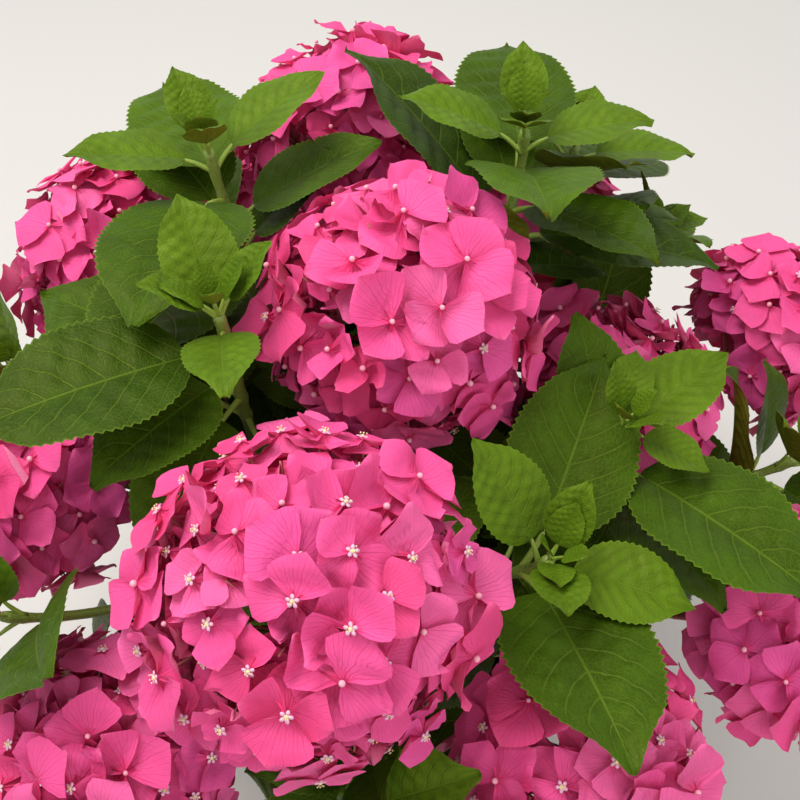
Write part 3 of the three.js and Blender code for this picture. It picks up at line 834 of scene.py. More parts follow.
@functools.cache
def plant():
    """Every shoot and leaf, in a dictionary from each cane's name to its list of (shoot, leaves)."""
    grown = {}
    for cane in CANES:
        name = cane[0]
        tip, along = cane_end(cane)
        fork = tip + along * (GAP + FORK_STEM)
        corners = packed_corners(f"foliage_{name}")
        grown[name] = []
        for number, facts in enumerate(SHOOTS):
            if facts[1] == name:
                start = fork - along * FORK_SUNK * (len(grown[name]) + 1)
                shoot = Shoot(facts, start, along)
                grown[name].append((shoot, grow_leaves(shoot, number + 1, corners)))
    clearance = Clearance()
    for shoot, leaves in itertools.chain(*grown.values()):
        leaves += small_leaves(shoot, len(SHOOTS) + SHOOT_NAMES.index(shoot.name) + 1, clearance)
    return grown


def leaf_outline(share):
    """Half width as a share of the greatest: (s/w)^rise ((1-s)/(1-w))^fall, drawn in towards a long tip."""
    widest = PROFILE_RISE / (PROFILE_RISE + PROFILE_FALL)
    body = (share / widest) ** PROFILE_RISE * ((1 - share) / (1 - widest)) ** PROFILE_FALL
    return body * (1 - TIP_NARROWING * smooth(*TIP_NARROWS, share))


def toothed_shares(teeth):
    """Where along a blade it has corners, with 1 at the point of a tooth and 0 between two teeth."""
    between = np.arange(teeth) / teeth
    points = between + TOOTH_POINT / teeth + POINT_SHIFT
    shares = np.concatenate([[BLADE_START], between + TOOTH_FOOT, points])
    points_out = np.concatenate([[0], np.zeros(teeth), np.ones(teeth)])
    order = np.argsort(shares)
    order = order[shares[order] < LAST_TOOTH]
    return shares[order][:, None], points_out[order][:, None]


def add_leaves(gather, leaves, teeth, rng):
    """Toothed blades with a thickness.

    At share s of the length and side t from -1 to 1 the upper face is
    base + s L along + t h(s) across + z face.
    h is half the width times the outline. z is the fold |t| h, less the droop L s^2, plus the swelling
    between sunken side veins, |sin(pi v)| with v = veins (s - arch |t|^bend), plus a slow wave of the margin,
    less the curl of the tip and the groove over the midrib.
    """
    sizes = bpy.context.scene.hydrangea_sizes
    s, points_out = toothed_shares(teeth)
    t = LEAF_SIDES
    aside = np.abs(t)
    length = column([leaf.length for leaf in leaves])
    width = LEAF_WIDTH * column(rng.uniform(*WIDTH_RANGE, len(leaves)))
    half = 0.5 * width * length * leaf_outline(s)
    half = np.where(aside == 1, half * (1 + sizes.tooth_depth * (2 * points_out - 1)), half)
    veins = VEIN_PAIRS * (s - VEIN_ARCH * aside**VEIN_BEND) + FIRST_VEIN
    swelling = np.abs(np.sin(math.pi * veins)) ** SWELLING_BLUNTED
    swelling = swelling * np.sin(math.pi * aside**SWELLING_ACROSS)
    swelling = swelling * np.sin(math.pi * s) ** SWELLING_ALONG
    swelling = swelling * column([YOUNG_SWELLING if leaf.age < YOUNG else SWELLING for leaf in leaves])
    left_phase, right_phase = map(column, rng.uniform(0, FULL_TURN, (2, len(leaves))))
    waves = column(rng.uniform(*WAVES_RANGE, len(leaves)))
    margin = np.sin(FULL_TURN * waves * s + np.where(t < 0, left_phase, right_phase)) * t**2 * s
    curl = column(rng.uniform(*CURL_RANGE, len(leaves)))
    curl = curl * np.clip(s - (1 - CURLED), 0, 1) ** 2 / CURLED
    groove = np.where(t == 0, 1.0, 0.0) * (1 - GROOVE_FADES * s)
    z = LEAF_FOLD * aside * half - LEAF_DROOP * length * s**2
    z = z + sizes.leaf_quilting * length * swelling + sizes.leaf_waviness * length * margin
    z = z - curl * length - GROOVE * length * groove
    base, *directions = (
        column([getattr(leaf, part) for leaf in leaves]) for part in ("base", "along", "across", "face")
    )
    upper = spread(base, directions, (s * length, t * half, z))
    thick = sizes.leaf_thickness / MM * np.sqrt(1 - t**2) + MIDRIB * length * groove
    tip_drop = (LEAF_DROOP + CURLED * curl[:, -1]) * length[:, 0]
    along, _, face = directions
    tips = base[:, 0, 0] + along[:, 0, 0] * length[:, 0] - face[:, 0, 0] * tip_drop
    tints = np.array([pick_leaf_tint(leaf, rng) for leaf in leaves])
    backs = np.where(tints == YOUNG_LEAF, YOUNG_UNDERSIDE, UNDERSIDE)
    uvs = np.stack(np.meshgrid(0.5 + 0.5 * t, s), -1)
    add_blades(gather, upper, tips, thick, face, tints, backs, uvs)


def pick_leaf_tint(leaf, rng):
    """Young leaves are the lightest, and the rest are dealt out, deeper ones more often low on a shoot."""
    if leaf.age < YOUNG:
        return YOUNG_LEAF
    deep = DEEP_SHARE_LOW if leaf.age > YOUNG else DEEP_SHARE
    shares = [deep, 1 - BRIGHT_SHARE - deep, BRIGHT_SHARE]
    return rng.choice([DEEP_LEAF, MID_LEAF, BRIGHT_LEAF], p=shares)


def make_leaf_piece(name, grown):
    """The leaves of one mass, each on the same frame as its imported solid."""
    rng = np.random.default_rng(len(name) * 31 + ord(name[0]))
    gather = Gather()
    leaves = [leaf for _, grown_leaves in grown for leaf in grown_leaves]
    full = [leaf for leaf in leaves if leaf.length > FULL_LEAF * LEAF_LENGTH]
    small = [leaf for leaf in leaves if leaf.length <= FULL_LEAF * LEAF_LENGTH]
    small += [leaf for shoot, _ in grown if not shoot.head for leaf in bud_leaves(shoot)]
    add_leaves(gather, full, FULL_LEAF_TEETH, rng)
    if small:
        add_leaves(gather, small, SMALL_LEAF_TEETH, rng)
    gather.piece(f"leaves_{name}", leaf_finishes(), "foliage", f"foliage_{name}")


def make_stem_piece(cane, grown):
    """The green stems and leaf stalks of one mass."""
    tip, along = cane_end(cane)
    gather = Gather()
    trunk = Course(tip - along * TRUNK_SUNK, along, tip + along * (GAP + FORK_STEM), along)
    radii = np.linspace(CANE_TIP_RADIUS + TRUNK_COLLAR, SHOOT_FOOT_RADIUS, TRUNK_RINGS)
    add_tube(gather, trunk, radii, STEM_SIDES, GREEN_STEM)
    for shoot, leaves in grown:
        length = shoot.course.length
        shares = np.linspace(0, 1, max(FEWEST_RINGS, int(length / RING_STEP)))
        points = shoot.course.point(shares)
        radii = SHOOT_FOOT_RADIUS + (SHOOT_TIP_RADIUS - SHOOT_FOOT_RADIUS) * shares
        for leaf in leaves:
            joint = shares[np.linalg.norm(points - leaf.joint, axis=1).argmin()]
            radii = radii + JOINT_SWELLING * np.exp(-(((shares - joint) * length / JOINT_LENGTH) ** 2))
        add_tube(gather, shoot.course, radii, STEM_SIDES, GREEN_STEM)
        for leaf in leaves if shoot.head else leaves + bud_leaves(shoot):
            add_stalk(gather, leaf)
    gather.piece(f"stems_{cane[0]}", [stem_finish(), stalk_finish()], "foliage")


def add_stalk(gather, leaf):
    """A leaf stalk: a tube from the joint to a little way under the midrib."""
    size = leaf.length / LEAF_LENGTH
    below = PETIOLE_BELOW + PETIOLE_BELOW * size
    end = leaf.base + leaf.along * PETIOLE_END * leaf.length - leaf.face * below
    course = Course(leaf.joint, leaf.stalk, end, leaf.along, *PETIOLE_PULLS)
    thickness = THINNEST_PETIOLE + (1 - THINNEST_PETIOLE) * size
    radii = thickness * PETIOLE_RADIUS * PETIOLE_TAPER
    add_tube(gather, course, radii, STALK_SIDES, LEAF_STALK)


def sepal_outline(share):
    """Half width as a share of the greatest: 1 - (|s - w| / reach)^power, where w is the widest place.

    The reach is w on the foot's side and 1 - w on the tip's side, and the power is less towards the pointed
    tip.
    """
    footward = np.clip((SEPAL_WIDEST - share) / SEPAL_WIDEST, 0, 1)
    tipward = np.clip((share - SEPAL_WIDEST) / (1 - SEPAL_WIDEST), 0, 1)
    return 1 - footward**SEPAL_ROUND_FOOT - tipward**SEPAL_POINTED_TIP


def turn_from_up(axis):
    """The matrix that turns +Z to an axis."""
    return np.array(Vector((0, 0, 1)).rotation_difference(Vector(axis)).to_matrix())


class Florets:
    """Where one head's florets are: middles, faces, spins and sizes, spread on a golden-angle spiral."""

    def __init__(self, shoot, sizes, rng):
        count = round(sizes.floret_count * (shoot.head / HEAD_SIZE) ** 2)
        number = np.arange(count)
        height = 1 - (1 - math.cos(math.radians(DOME_ANGLE))) * (number + 0.5) / count
        around = np.radians(number * GOLDEN_ANGLE + shoot.turn)
        aside = np.sqrt(1 - height**2)
        local = np.stack([aside * np.cos(around), aside * np.sin(around), height], -1)
        self.out = unit(local @ turn_from_up(shoot.axis).T + rng.normal(0, OUT_JITTER, (count, 3)))
        self.height = height
        sunk = np.resize(SUNK_LEVELS, count) + rng.uniform(-SUNK_JITTER, SUNK_JITTER, count)
        sunk = sunk + LOW_SUNK * smooth(*LOW_ON_HEAD, height)
        self.middle = shoot.middle + self.out * (shoot.head - OUTERMOST - sunk)[:, None]
        lean = np.tan(np.radians(sizes.floret_tilt)) * rng.normal(size=(count, 3)) * LEAN_JITTER
        skyward = FACE_FORWARD * smooth(*FACES_FORWARD, height)[:, None] * shoot.axis
        self.face = unit(self.out + lean + skyward)
        self.side = unit(np.cross(self.face, rng.normal(size=(count, 3))))
        self.second = np.cross(self.face, self.side)
        small = np.where(rng.uniform(0, 1, count) < SMALL_FLORETS, SMALL_FLORET_SIZE, 1.0)
        size = small * sizes.sepal_length / MM * rng.uniform(*FLORET_RANGE, count)
        self.size = size * (1 - DEEP_SMALLER * sunk)
        self.hidden = np.zeros(count, bool)

    def heart_disc(self, number):
        """Points on two rings round a floret's middle, in its own plane."""
        around = np.linspace(0, FULL_TURN, DISC_POINTS)[:, None]
        ring = np.cos(around) * self.side[number] + np.sin(around) * self.second[number]
        rings = [ring * HEART_RADIUS, ring * 0.5 * HEART_RADIUS, ring * 0]
        return self.middle[number] + np.concatenate(rings)


class FreeSpace:
    """How far out from a head's middle each direction is still free.

    The directions are laid out on a flat round map, where the distance from the map's middle is the angle
    from the head's axis.
    """

    def __init__(self, shoot):
        self.middle = shoot.middle
        self.turn = turn_from_up(shoot.axis)
        self.reach = np.full((2 * MAP_HALF + 3, 2 * MAP_HALF + 3), np.inf)

    def cells(self, points):
        """The distance of each point from the head's middle, and its cell of the map."""
        local = (points - self.middle) @ self.turn
        radius = np.linalg.norm(local, axis=-1)
        from_axis = np.arccos(np.clip(local[..., 2] / radius, -1, 1))
        around = np.arctan2(local[..., 1], local[..., 0])
        x = (from_axis * np.cos(around) / MAP_CELL + MAP_HALF + 1.5).astype(int)
        y = (from_axis * np.sin(around) / MAP_CELL + MAP_HALF + 1.5).astype(int)
        return radius, (x, y)

    def fill(self, points):
        """Takes the space from these points inward, and one cell to each side of them."""
        radius, (x, y) = self.cells(points)
        for beside, above in itertools.product((-1, 0, 1), repeat=2):
            np.minimum.at(self.reach, (x + beside, y + above), radius)


def resampler(coarse, fine):
    """The matrix that turns values at coarse places into values at fine places by straight lines."""
    return np.array([np.interp(fine, coarse, row) for row in np.eye(len(coarse))]).T


def greatest_near(coarse, fine):
    """For each coarse place, which fine places lie no further off than the coarse places beside it."""
    return np.abs(coarse[:, None] - fine[None, :]) <= np.gradient(coarse)[:, None]


def lay_sepals(florets, upper, tips, space):
    """Lays the sepals down from the outermost in, so that each slips under those already there.

    A sepal's turn comes by how far out its floret is, and partly by its own height in the floret. On a fine
    grid, the drop is how far the sepal stands above the free reach less a gap. Each corner moves towards the
    head's middle by the greatest drop near it. A floret whose heart is covered when its turn comes is hidden,
    and the others keep their hearts free.
    """
    along = resampler(SEPAL_SHARES, CHECKED_SHARES)
    across = resampler(SEPAL_SIDES, CHECKED_SIDES)
    near_shares = greatest_near(SEPAL_SHARES, CHECKED_SHARES)[:, :, None]
    near_sides = greatest_near(SEPAL_SIDES, CHECKED_SIDES)[None, :, :]
    beyond_heart = CHECKED_SHARES > HEART_SHARE
    own = np.linalg.norm(upper - space.middle, axis=-1).mean(axis=(1, 2)).reshape(-1, SEPALS)
    level = np.linalg.norm(florets.middle - space.middle, axis=-1)[:, None]
    height = level + OWN_HEIGHT * (own - own.mean(axis=1, keepdims=True))
    begun = np.zeros(len(level), bool)
    for number in np.argsort(-height.reshape(-1)):
        floret = number // SEPALS
        if not begun[floret]:
            begun[floret] = True
            radius, cell = space.cells(florets.middle[floret])
            florets.hidden[floret] = space.reach[cell] < radius + HEART_ROOM
            if not florets.hidden[floret]:
                space.fill(florets.heart_disc(floret))
        fine = along @ np.moveaxis(across @ upper[number], 0, 1)
        radius, cell = space.cells(fine)
        drop = np.clip(radius - space.reach[cell] + SEPAL_GAP, 0, DEEPEST).T
        if not florets.hidden[floret]:
            drop[~beyond_heart] = 0
        drop = np.where(near_shares, drop[None], 0).max(axis=1)
        drop = np.where(near_sides, drop[:, None], 0).max(axis=2)
        upper[number] += unit(space.middle - upper[number]) * drop[..., None]
        tips[number] += unit(space.middle - tips[number]) * drop[-1].max()
        fine = along[beyond_heart] @ np.moveaxis(across @ upper[number], 0, 1)
        space.fill(fine.reshape(-1, 3))


def add_sepals(gather, shoot, florets, sizes, rng):
    """Four broad sepals to a floret.

    At share s of the length and side t from -1 to 1 a sepal's upper face is
    middle + s L out + t h(s) across + z face.
    z is the fold |t| h, plus the twist t h, plus the cup L (s^2 + (t h / L)^2), plus a wave of the margin,
    and each second sepal lies over the others. Then each sepal slips under its neighbours.
    """
    count = len(florets.size)
    number = np.arange(SEPALS)[None, :]
    turn = 360 / SEPALS * number + rng.normal(0, SEPAL_TURN_JITTER, (count, SEPALS))
    turn = np.radians(turn)[..., None]
    out = np.cos(turn) * florets.side[:, None] + np.sin(turn) * florets.second[:, None]
    face = np.broadcast_to(florets.face[:, None], out.shape).reshape(-1, 3)
    middle = np.broadcast_to(florets.middle[:, None], out.shape).reshape(-1, 3)
    out = out.reshape(-1, 3)
    across = np.cross(out, face)
    total = len(out)

    def each(values):
        return column(np.broadcast_to(values, (count, SEPALS)).reshape(-1))

    def drawn(low, high):
        return column(rng.uniform(low, high, total))

    length = each(florets.size[:, None] * rng.uniform(*SEPAL_LENGTH_RANGE, (count, SEPALS)))
    width = each(sizes.sepal_width * rng.uniform(*SEPAL_WIDTH_RANGE, (count, SEPALS)))
    cup = each(rng.uniform(*FLORET_CUP, (count, 1)) + rng.uniform(*SEPAL_CUP, (count, SEPALS)))
    raised = drawn(0, 1) < RAISED_SEPALS
    cup = np.where(raised, drawn(*RAISED_CUP), cup)
    fold = drawn(*SEPAL_FOLD)
    twist = drawn(*SEPAL_TWIST)
    phase = drawn(0, FULL_TURN)
    over = each(number % 2)
    s = SEPAL_SHARES[:, None]
    t = SEPAL_SIDES
    ruffle = sum(
        depth * np.sin(along * s + shifts * phase + aside * t)
        for depth, along, shifts, aside in SEPAL_RUFFLES
    )
    half = 0.5 * width * length * sepal_outline(s) * (1 + ruffle * np.abs(t))
    swing = SEPAL_WAVE * s + phase + WAVE_BETWEEN_SIDES * np.sign(t)
    wave = sizes.sepal_waviness * length * np.sin(swing) * t**2 * s
    step = (SEPAL_OVERLAP + over) * smooth(0, 0.4, s)
    bend = cup * length * (s**2 + (t * half / length) ** 2)
    z = fold * np.abs(t) * half + twist * t * half + bend + wave + step
    upper = spread(column(middle), map(column, (out, across, face)), (s * length, t * half, z))
    flat = length[:, 0]
    tips = middle + out * flat + face * (cup[:, 0] * flat + SEPAL_OVERLAP + over[:, 0])
    lay_sepals(florets, upper, tips, FreeSpace(shoot))
    thick = sizes.sepal_thickness / MM * np.sqrt(1 - t**2)
    tints = np.repeat(pick_floret_tints(florets, rng), SEPALS)
    backs = np.full(total, SEPAL_BACK)
    uvs = fan_uvs(s, 0.5 * sizes.sepal_width * t * sepal_outline(s))
    add_blades(gather, upper, tips, thick, column(face), tints, backs, uvs)


def fan_uvs(along, aside):
    """UVs that fan out from a sepal's foot: U is the angle from its middle line, V the distance from it."""
    along = np.broadcast_to(along, aside.shape)
    return np.stack([0.5 + 0.5 * np.arctan2(aside, along), np.hypot(aside, along)], -1)


def pick_floret_tints(florets, rng):
    """A tint for each floret, dealt out by chance, with more mauve ones low on the head as painted shade."""
    low = smooth(*MAUVE_PAINTED_SHADE_HEIGHTS, florets.height)
    dealt = rng.uniform(0, 1, len(low))
    tints = np.full(len(low), ROSE)
    tints[dealt > DEEP_FROM] = DEEP_ROSE
    tints[dealt > PALE_FROM] = PALE_ROSE
    # Painted shade: the lower a floret stands on its head, the more often it gets the mauve tint
    tints[dealt < MAUVE_SHARE + MAUVE_PAINTED_SHADE_SHARE * low] = MAUVE_ROSE
    return tints


def make_heart_piece(shoot, florets, sizes, rng):
    """What lies inside a head: a bead or small open flower in the middle of each floret, and its stalks."""
    gather = Gather()
    shown = ~florets.hidden
    open_share = sizes.open_flowers if shoot.name in OPEN_HEADS else OPEN_ELSEWHERE
    is_open = rng.uniform(0, 1, len(shown)) < open_share
    corners, faces = ball(2)
    radius = np.where(is_open, OPEN_BEAD, rng.uniform(*BEAD_RANGE, len(shown)))[shown]
    beads = (florets.middle + florets.face * BEAD_LIFT)[shown][:, None] + corners[None] * column(radius)
    gather.add(beads, faces, np.where(is_open, CREAM, BEAD)[shown])
    add_small_flowers(gather, florets, np.flatnonzero(is_open & shown), rng)
    add_flower_stalks(gather, shoot, florets)
    gather.piece(f"flower_hearts_{shoot.name}", heart_finishes(), "blossom")


def add_small_flowers(gather, florets, chosen, rng):
    """Five flattened petals round each open middle, and the anthers that stand above them."""
    if len(chosen) == 0:
        return
    corners, faces = ball(1)
    middle, face, side, second = (
        getattr(florets, part)[chosen][:, None] for part in ("middle", "face", "side", "second")
    )
    fifths = FULL_TURN * np.arange(SMALL_PETALS) / SMALL_PETALS
    turn = (rng.uniform(0, FULL_TURN, len(chosen))[:, None] + fifths)[..., None]
    out = np.cos(turn) * side + np.sin(turn) * second
    across = np.cross(out, face)
    foot = middle + face * SMALL_PETAL_LIFT + out * SMALL_PETAL_OUT
    directions = [part[:, :, None] for part in (out, across, face)]
    petals = spread(foot[:, :, None], directions, (corners * SMALL_PETAL_SIZE).T)
    gather.add(petals.reshape(-1, len(corners), 3), faces, STAR)
    lean = rng.uniform(*ANTHER_LEAN, (len(chosen), SMALL_PETALS))[..., None]
    anthers = middle + face * ANTHER_LIFT + (out + across * ANTHER_ASIDE) * ANTHER_OUT * lean
    small = anthers[:, :, None] + corners * ANTHER_RADIUS
    gather.add(small.reshape(-1, len(corners), 3), faces, CREAM)


def add_flower_stalks(gather, shoot, florets):
    """A stub up from the shoot's end, rays that spread from it, and a fine stalk from the nearest ray to
    each floret."""
    foot = shoot.middle - shoot.axis * STUB_SHARE * shoot.head
    fork = shoot.middle - shoot.axis * FORK_SHARE * shoot.head
    stub = Course(foot, shoot.axis, fork, shoot.axis)
    radii = np.linspace(SHOOT_TIP_RADIUS + STUB_SWELLING, SHOOT_TIP_RADIUS, STUB_RINGS)
    add_tube(gather, stub, radii, STUB_SIDES, FLOWER_STALK)
    rays = unit(florets.out[2 : 2 + RAYS * RAY_EVERY : RAY_EVERY])
    ends = shoot.middle + rays * RAY_REACH * shoot.head - shoot.axis * RAY_DROP * shoot.head
    for end in ends:
        ray = Course(fork - shoot.axis * RAY_SUNK, shoot.axis, end, unit(end - fork))
        add_tube(gather, ray, RAY_RADII, RAY_SIDES, FLOWER_STALK)
    nearest = np.linalg.norm(florets.middle[:, None] - ends[None], axis=-1).argmin(1)
    for middle, face, end in zip(florets.middle, florets.face, ends[nearest]):
        stalk = Course(end, unit(middle - end), middle - face * FLORET_STALK_END, face)
        add_tube(gather, stalk, FLORET_STALK_RADII, FLORET_STALK_SIDES, FLOWER_STALK)


def make_head(shoot):
    """One flower head, as its sepals and as the hearts and stalks of its florets."""
    sizes = bpy.context.scene.hydrangea_sizes
    rng = np.random.default_rng(SHOOT_NAMES.index(shoot.name) + 101)
    florets = Florets(shoot, sizes, rng)
    gather = Gather()
    add_sepals(gather, shoot, florets, sizes, rng)
    gather.piece(f"sepals_{shoot.name}", sepal_finishes(), "blossom", f"flower_head_{shoot.name}")
    make_heart_piece(shoot, florets, sizes, rng)


def add_turned(gather, profile, segments, relief=None):
    """A closed surface of revolution about Z, with a relief added to its radius if one is given.

    The profile is a list of radius and height that starts and ends on the axis.
    """
    profile = np.asarray(profile, float)
    around = np.linspace(0, FULL_TURN, segments, endpoint=False)
    inner, height = profile[1:-1, :1], profile[1:-1, 1:]
    radius = inner + (relief(height, around, inner) if relief else np.zeros(segments))
    height = np.broadcast_to(height, radius.shape)
    points = np.stack([radius * np.cos(around), radius * np.sin(around), height], -1)
    corners = np.concatenate([points.reshape(-1, 3), [[0, 0, profile[0, 1]], [0, 0, profile[-1, 1]]]])
    gather.add(corners[None], ring_faces(*radius.shape), 0)


def arc(centre, radius, start, end, steps=6):
    """Points of a profile on a circular arc, from one angle to the other in degrees."""
    angles = np.radians(np.linspace(start, end, steps))
    return [(centre[0] + radius * math.cos(a), centre[1] + radius * math.sin(a)) for a in angles]


def wall_at(height):
    """The radius of the pot's tapered wall at a height, without its collar."""
    return FOOT_RADIUS + (RIM_RADIUS - COLLAR_PROUD - FOOT_RADIUS) * height / POT_HEIGHT


def straight(start, end, steps):
    """Points of a profile on a straight line, without its first point."""
    shares = np.linspace(0, 1, steps + 1)[1:, None]
    return [tuple(point) for point in np.array(start) * (1 - shares) + np.array(end) * shares]


def make_pot():
    """The glazed pot: a turned wall with a collar and a rolled rim, and drain holes through its floor."""
    collar = POT_HEIGHT - COLLAR_HEIGHT
    inside = wall_at(POT_HEIGHT) - POT_WALL
    profile = [(0, 0), (FOOT_RADIUS - RIM_ROUND, 0)]
    profile += arc((FOOT_RADIUS - RIM_ROUND, RIM_ROUND), RIM_ROUND, -75, 0)
    profile += straight((FOOT_RADIUS, RIM_ROUND), (wall_at(collar), collar - 2), 40)
    profile += arc((RIM_RADIUS - RIM_ROUND, collar + RIM_ROUND), RIM_ROUND, -80, 0)
    profile += straight((RIM_RADIUS, collar + RIM_ROUND), (RIM_RADIUS, POT_HEIGHT - 2 * RIM_ROUND), 10)
    profile += arc((RIM_RADIUS - 2 * RIM_ROUND, POT_HEIGHT - 2 * RIM_ROUND), 2 * RIM_ROUND, 10, 90)
    profile += arc((inside + RIM_ROUND, POT_HEIGHT - RIM_ROUND), RIM_ROUND, 90, 180)
    profile += straight((inside, POT_HEIGHT - RIM_ROUND), (wall_at(POT_FLOOR) - POT_WALL, POT_FLOOR), 12)
    profile += [(0, POT_FLOOR)]

    def throwing_rings(height, around, radius):
        outside = radius > wall_at(height) - 0.5 * POT_WALL
        rings = sum(
            depth * np.sin(height / step + sway * np.sin(around)) for depth, step, sway in THROWN_RINGS
        )
        hand = OUT_OF_ROUND * np.sin(2 * around + 0.8)
        hand = hand + TWISTED * np.sin(3 * around + height / TWIST_HEIGHT)
        return np.where(outside & (height > RIM_ROUND), rings + hand, 0.0)

    gather = Gather()
    add_turned(gather, profile, POT_SEGMENTS, throwing_rings)
    pot = gather.piece("glazed_pot", [glaze_finish()], "pot", "pot")
    for number in range(DRAIN_HOLES):
        cut_drain_hole(pot, FULL_TURN * (number + 0.5) / DRAIN_HOLES)


def cut_drain_hole(pot, around):
    """Cuts one round hole through the pot's floor."""
    shape = bmesh.new()
    radius = DRAIN_HOLE_RADIUS * MM
    depth = 4 * POT_FLOOR * MM
    bmesh.ops.create_cone(shape, cap_ends=True, segments=32, radius1=radius, radius2=radius, depth=depth)
    place = Vector((math.cos(around), math.sin(around), 0)) * DRAIN_HOLE_CIRCLE * MM
    bmesh.ops.translate(shape, vec=place, verts=shape.verts)
    mesh = bpy.data.meshes.new("drill")
    shape.to_mesh(mesh)
    shape.free()
    drill = link(bpy.data.objects.new("drill", mesh))
    cut = pot.modifiers.new("drain hole", "BOOLEAN")
    cut.object = drill
    cut.operation = "DIFFERENCE"
    cut.solver = "EXACT"
    with bpy.context.temp_override(object=pot, active_object=pot):
        bpy.ops.object.modifier_apply(modifier=cut.name)
    bpy.data.objects.remove(drill)
    bpy.data.meshes.remove(mesh)


def make_soil():
    """Crumbly potting soil: a closed plug whose top falls to the wall in lumps, with loose crumbs on it."""
    inside = wall_at(SOIL_LEVEL - SOIL_FALL) - POT_WALL - 2 * GAP
    foot = wall_at(POT_FLOOR) - POT_WALL - 2 * GAP

    def surface(radius):
        fall = (radius - SOIL_FLAT_RADIUS) / (inside - SOIL_FLAT_RADIUS)
        return SOIL_LEVEL - SOIL_FALL * np.clip(fall, 0, 1)

    profile = [(0, POT_FLOOR + GAP), (foot, POT_FLOOR + GAP), (foot + 0.4, POT_FLOOR + 2)]
    profile += [(radius, surface(radius)) for radius in np.linspace(inside, 3.0, 46)]
    profile += [(0, SOIL_LEVEL)]
    gather = Gather()
    add_turned(gather, profile, SOIL_SEGMENTS)
    top = gather.points[0]
    raised = smooth(SOIL_LEVEL - 12, SOIL_LEVEL - 8, top[:, 2])
    raised = raised * smooth(inside + 1, inside - 8, np.hypot(*top[:, :2].T))
    flat = top * [1, 1, 0]
    lumps = sum(height * np.abs(ripple(flat, width, seed)) for height, width, seed in SOIL_LUMPS)
    grain_height, grain_width, grain_seed = SOIL_GRAIN
    lumps = lumps + grain_height * ripple(flat, grain_width, grain_seed)
    top[:, 2] += raised * (lumps - LUMPS_SUNK)
    rng = np.random.default_rng(12)
    corners, faces = ball(1)
    reach = np.sqrt(rng.uniform(0.04, 1, SOIL_CRUMBS)) * (inside - 8)
    around = rng.uniform(0, FULL_TURN, SOIL_CRUMBS)
    middle = np.stack([reach * np.cos(around), reach * np.sin(around), surface(reach) + 0.8], -1)
    size = rng.uniform(*CRUMB_RANGE, (SOIL_CRUMBS, 1, 3)) * CRUMB_SHAPE
    dents = CRUMB_ROUGHNESS * rng.normal(size=(SOIL_CRUMBS, len(corners), 1))
    rough = corners[None] * (1 + dents)
    shares = [1 - WOOD_CHIP_SHARE, WOOD_CHIP_SHARE]
    kinds = rng.choice([CRUMB, WOOD_CHIP], SOIL_CRUMBS, p=shares)
    gather.add(middle[:, None] + rough * size, faces, kinds)
    materials = [soil_finish("soil", 1.0), soil_finish("soil crumbs", 1.5), bark_finish()]
    gather.piece("potting_soil", materials, "soil", "soil")


def bark_relief(depth, seed):
    """Fissures and peeling edges: waves round the limb that drift along it, and a ring at each node."""
    drift = np.random.default_rng(seed).uniform(0, FULL_TURN, 4)

    def relief(along, around):
        fissures = np.sin(5 * around + 0.06 * along + drift[0])
        fissures = fissures + 0.7 * np.sin(9 * around - 0.11 * along + drift[1])
        flakes = np.sin(0.9 * along + 3 * np.sin(2 * around + drift[2])) * np.sin(3 * around + drift[3])
        from_node = (along + NODE_SHIFT) % NODE_STEP - NODE_STEP // 2
        rings = np.exp(-(from_node / NODE_WIDTH) ** 2)
        return depth * (FISSURES * fissures + FLAKES * flakes + NODE_RINGS * rings)

    return relief


def make_woody_base():
    """The woody crown and its canes, each a piece with the bark's relief."""
    gather = Gather()
    foot = SOIL_LEVEL + GAP
    heights = np.array([0, 0.08, 0.18, 0.34, 0.5, 0.66, 0.82, 0.92, 1.0])
    outline = [CROWN_RADIUS + ROOT_FLARE, CROWN_RADIUS + 0.45 * ROOT_FLARE, CROWN_RADIUS]
    outline += [0.8 * CROWN_RADIUS, 0.42 * CROWN_RADIUS]
    widths = np.interp(heights, [0, 0.18, 0.5, 0.82, 1.0], outline)
    profile = [(0, foot)] + [(w, foot + h * CROWN_HEIGHT) for w, h in zip(widths, heights)]
    profile += [(0, foot + 1.04 * CROWN_HEIGHT)]

    def lobes(height, around, radius):
        swell = 0.09 * np.sin(3 * around + 0.6) + 0.06 * np.sin(5 * around)
        cracks = 0.018 * np.sin(17 * around + 0.3 * height) + 0.012 * np.sin(29 * around - 0.5 * height)
        return radius * (swell + cracks)

    add_turned(gather, profile, CROWN_SEGMENTS, lobes)
    corners = gather.points[0]
    corners[:, 0] += CROWN_LEAN * (corners[:, 2] - foot) / CROWN_HEIGHT
    gather.piece("crown_of_old_wood", [bark_finish()], "bark", "woody_crown")
    for number, cane in enumerate(CANES):
        radii = CANE_FOOT_RADIUS + (CANE_TIP_RADIUS - CANE_FOOT_RADIUS) * np.linspace(0, 1, CANE_RINGS)
        gather = Gather()
        add_tube(gather, cane_course(cane), radii, CANE_SIDES, 0, bark_relief(BARK_DEPTH, number))
        gather.piece(f"woody_cane_{cane[0]}", [bark_finish()], "bark", f"cane_{cane[0]}")


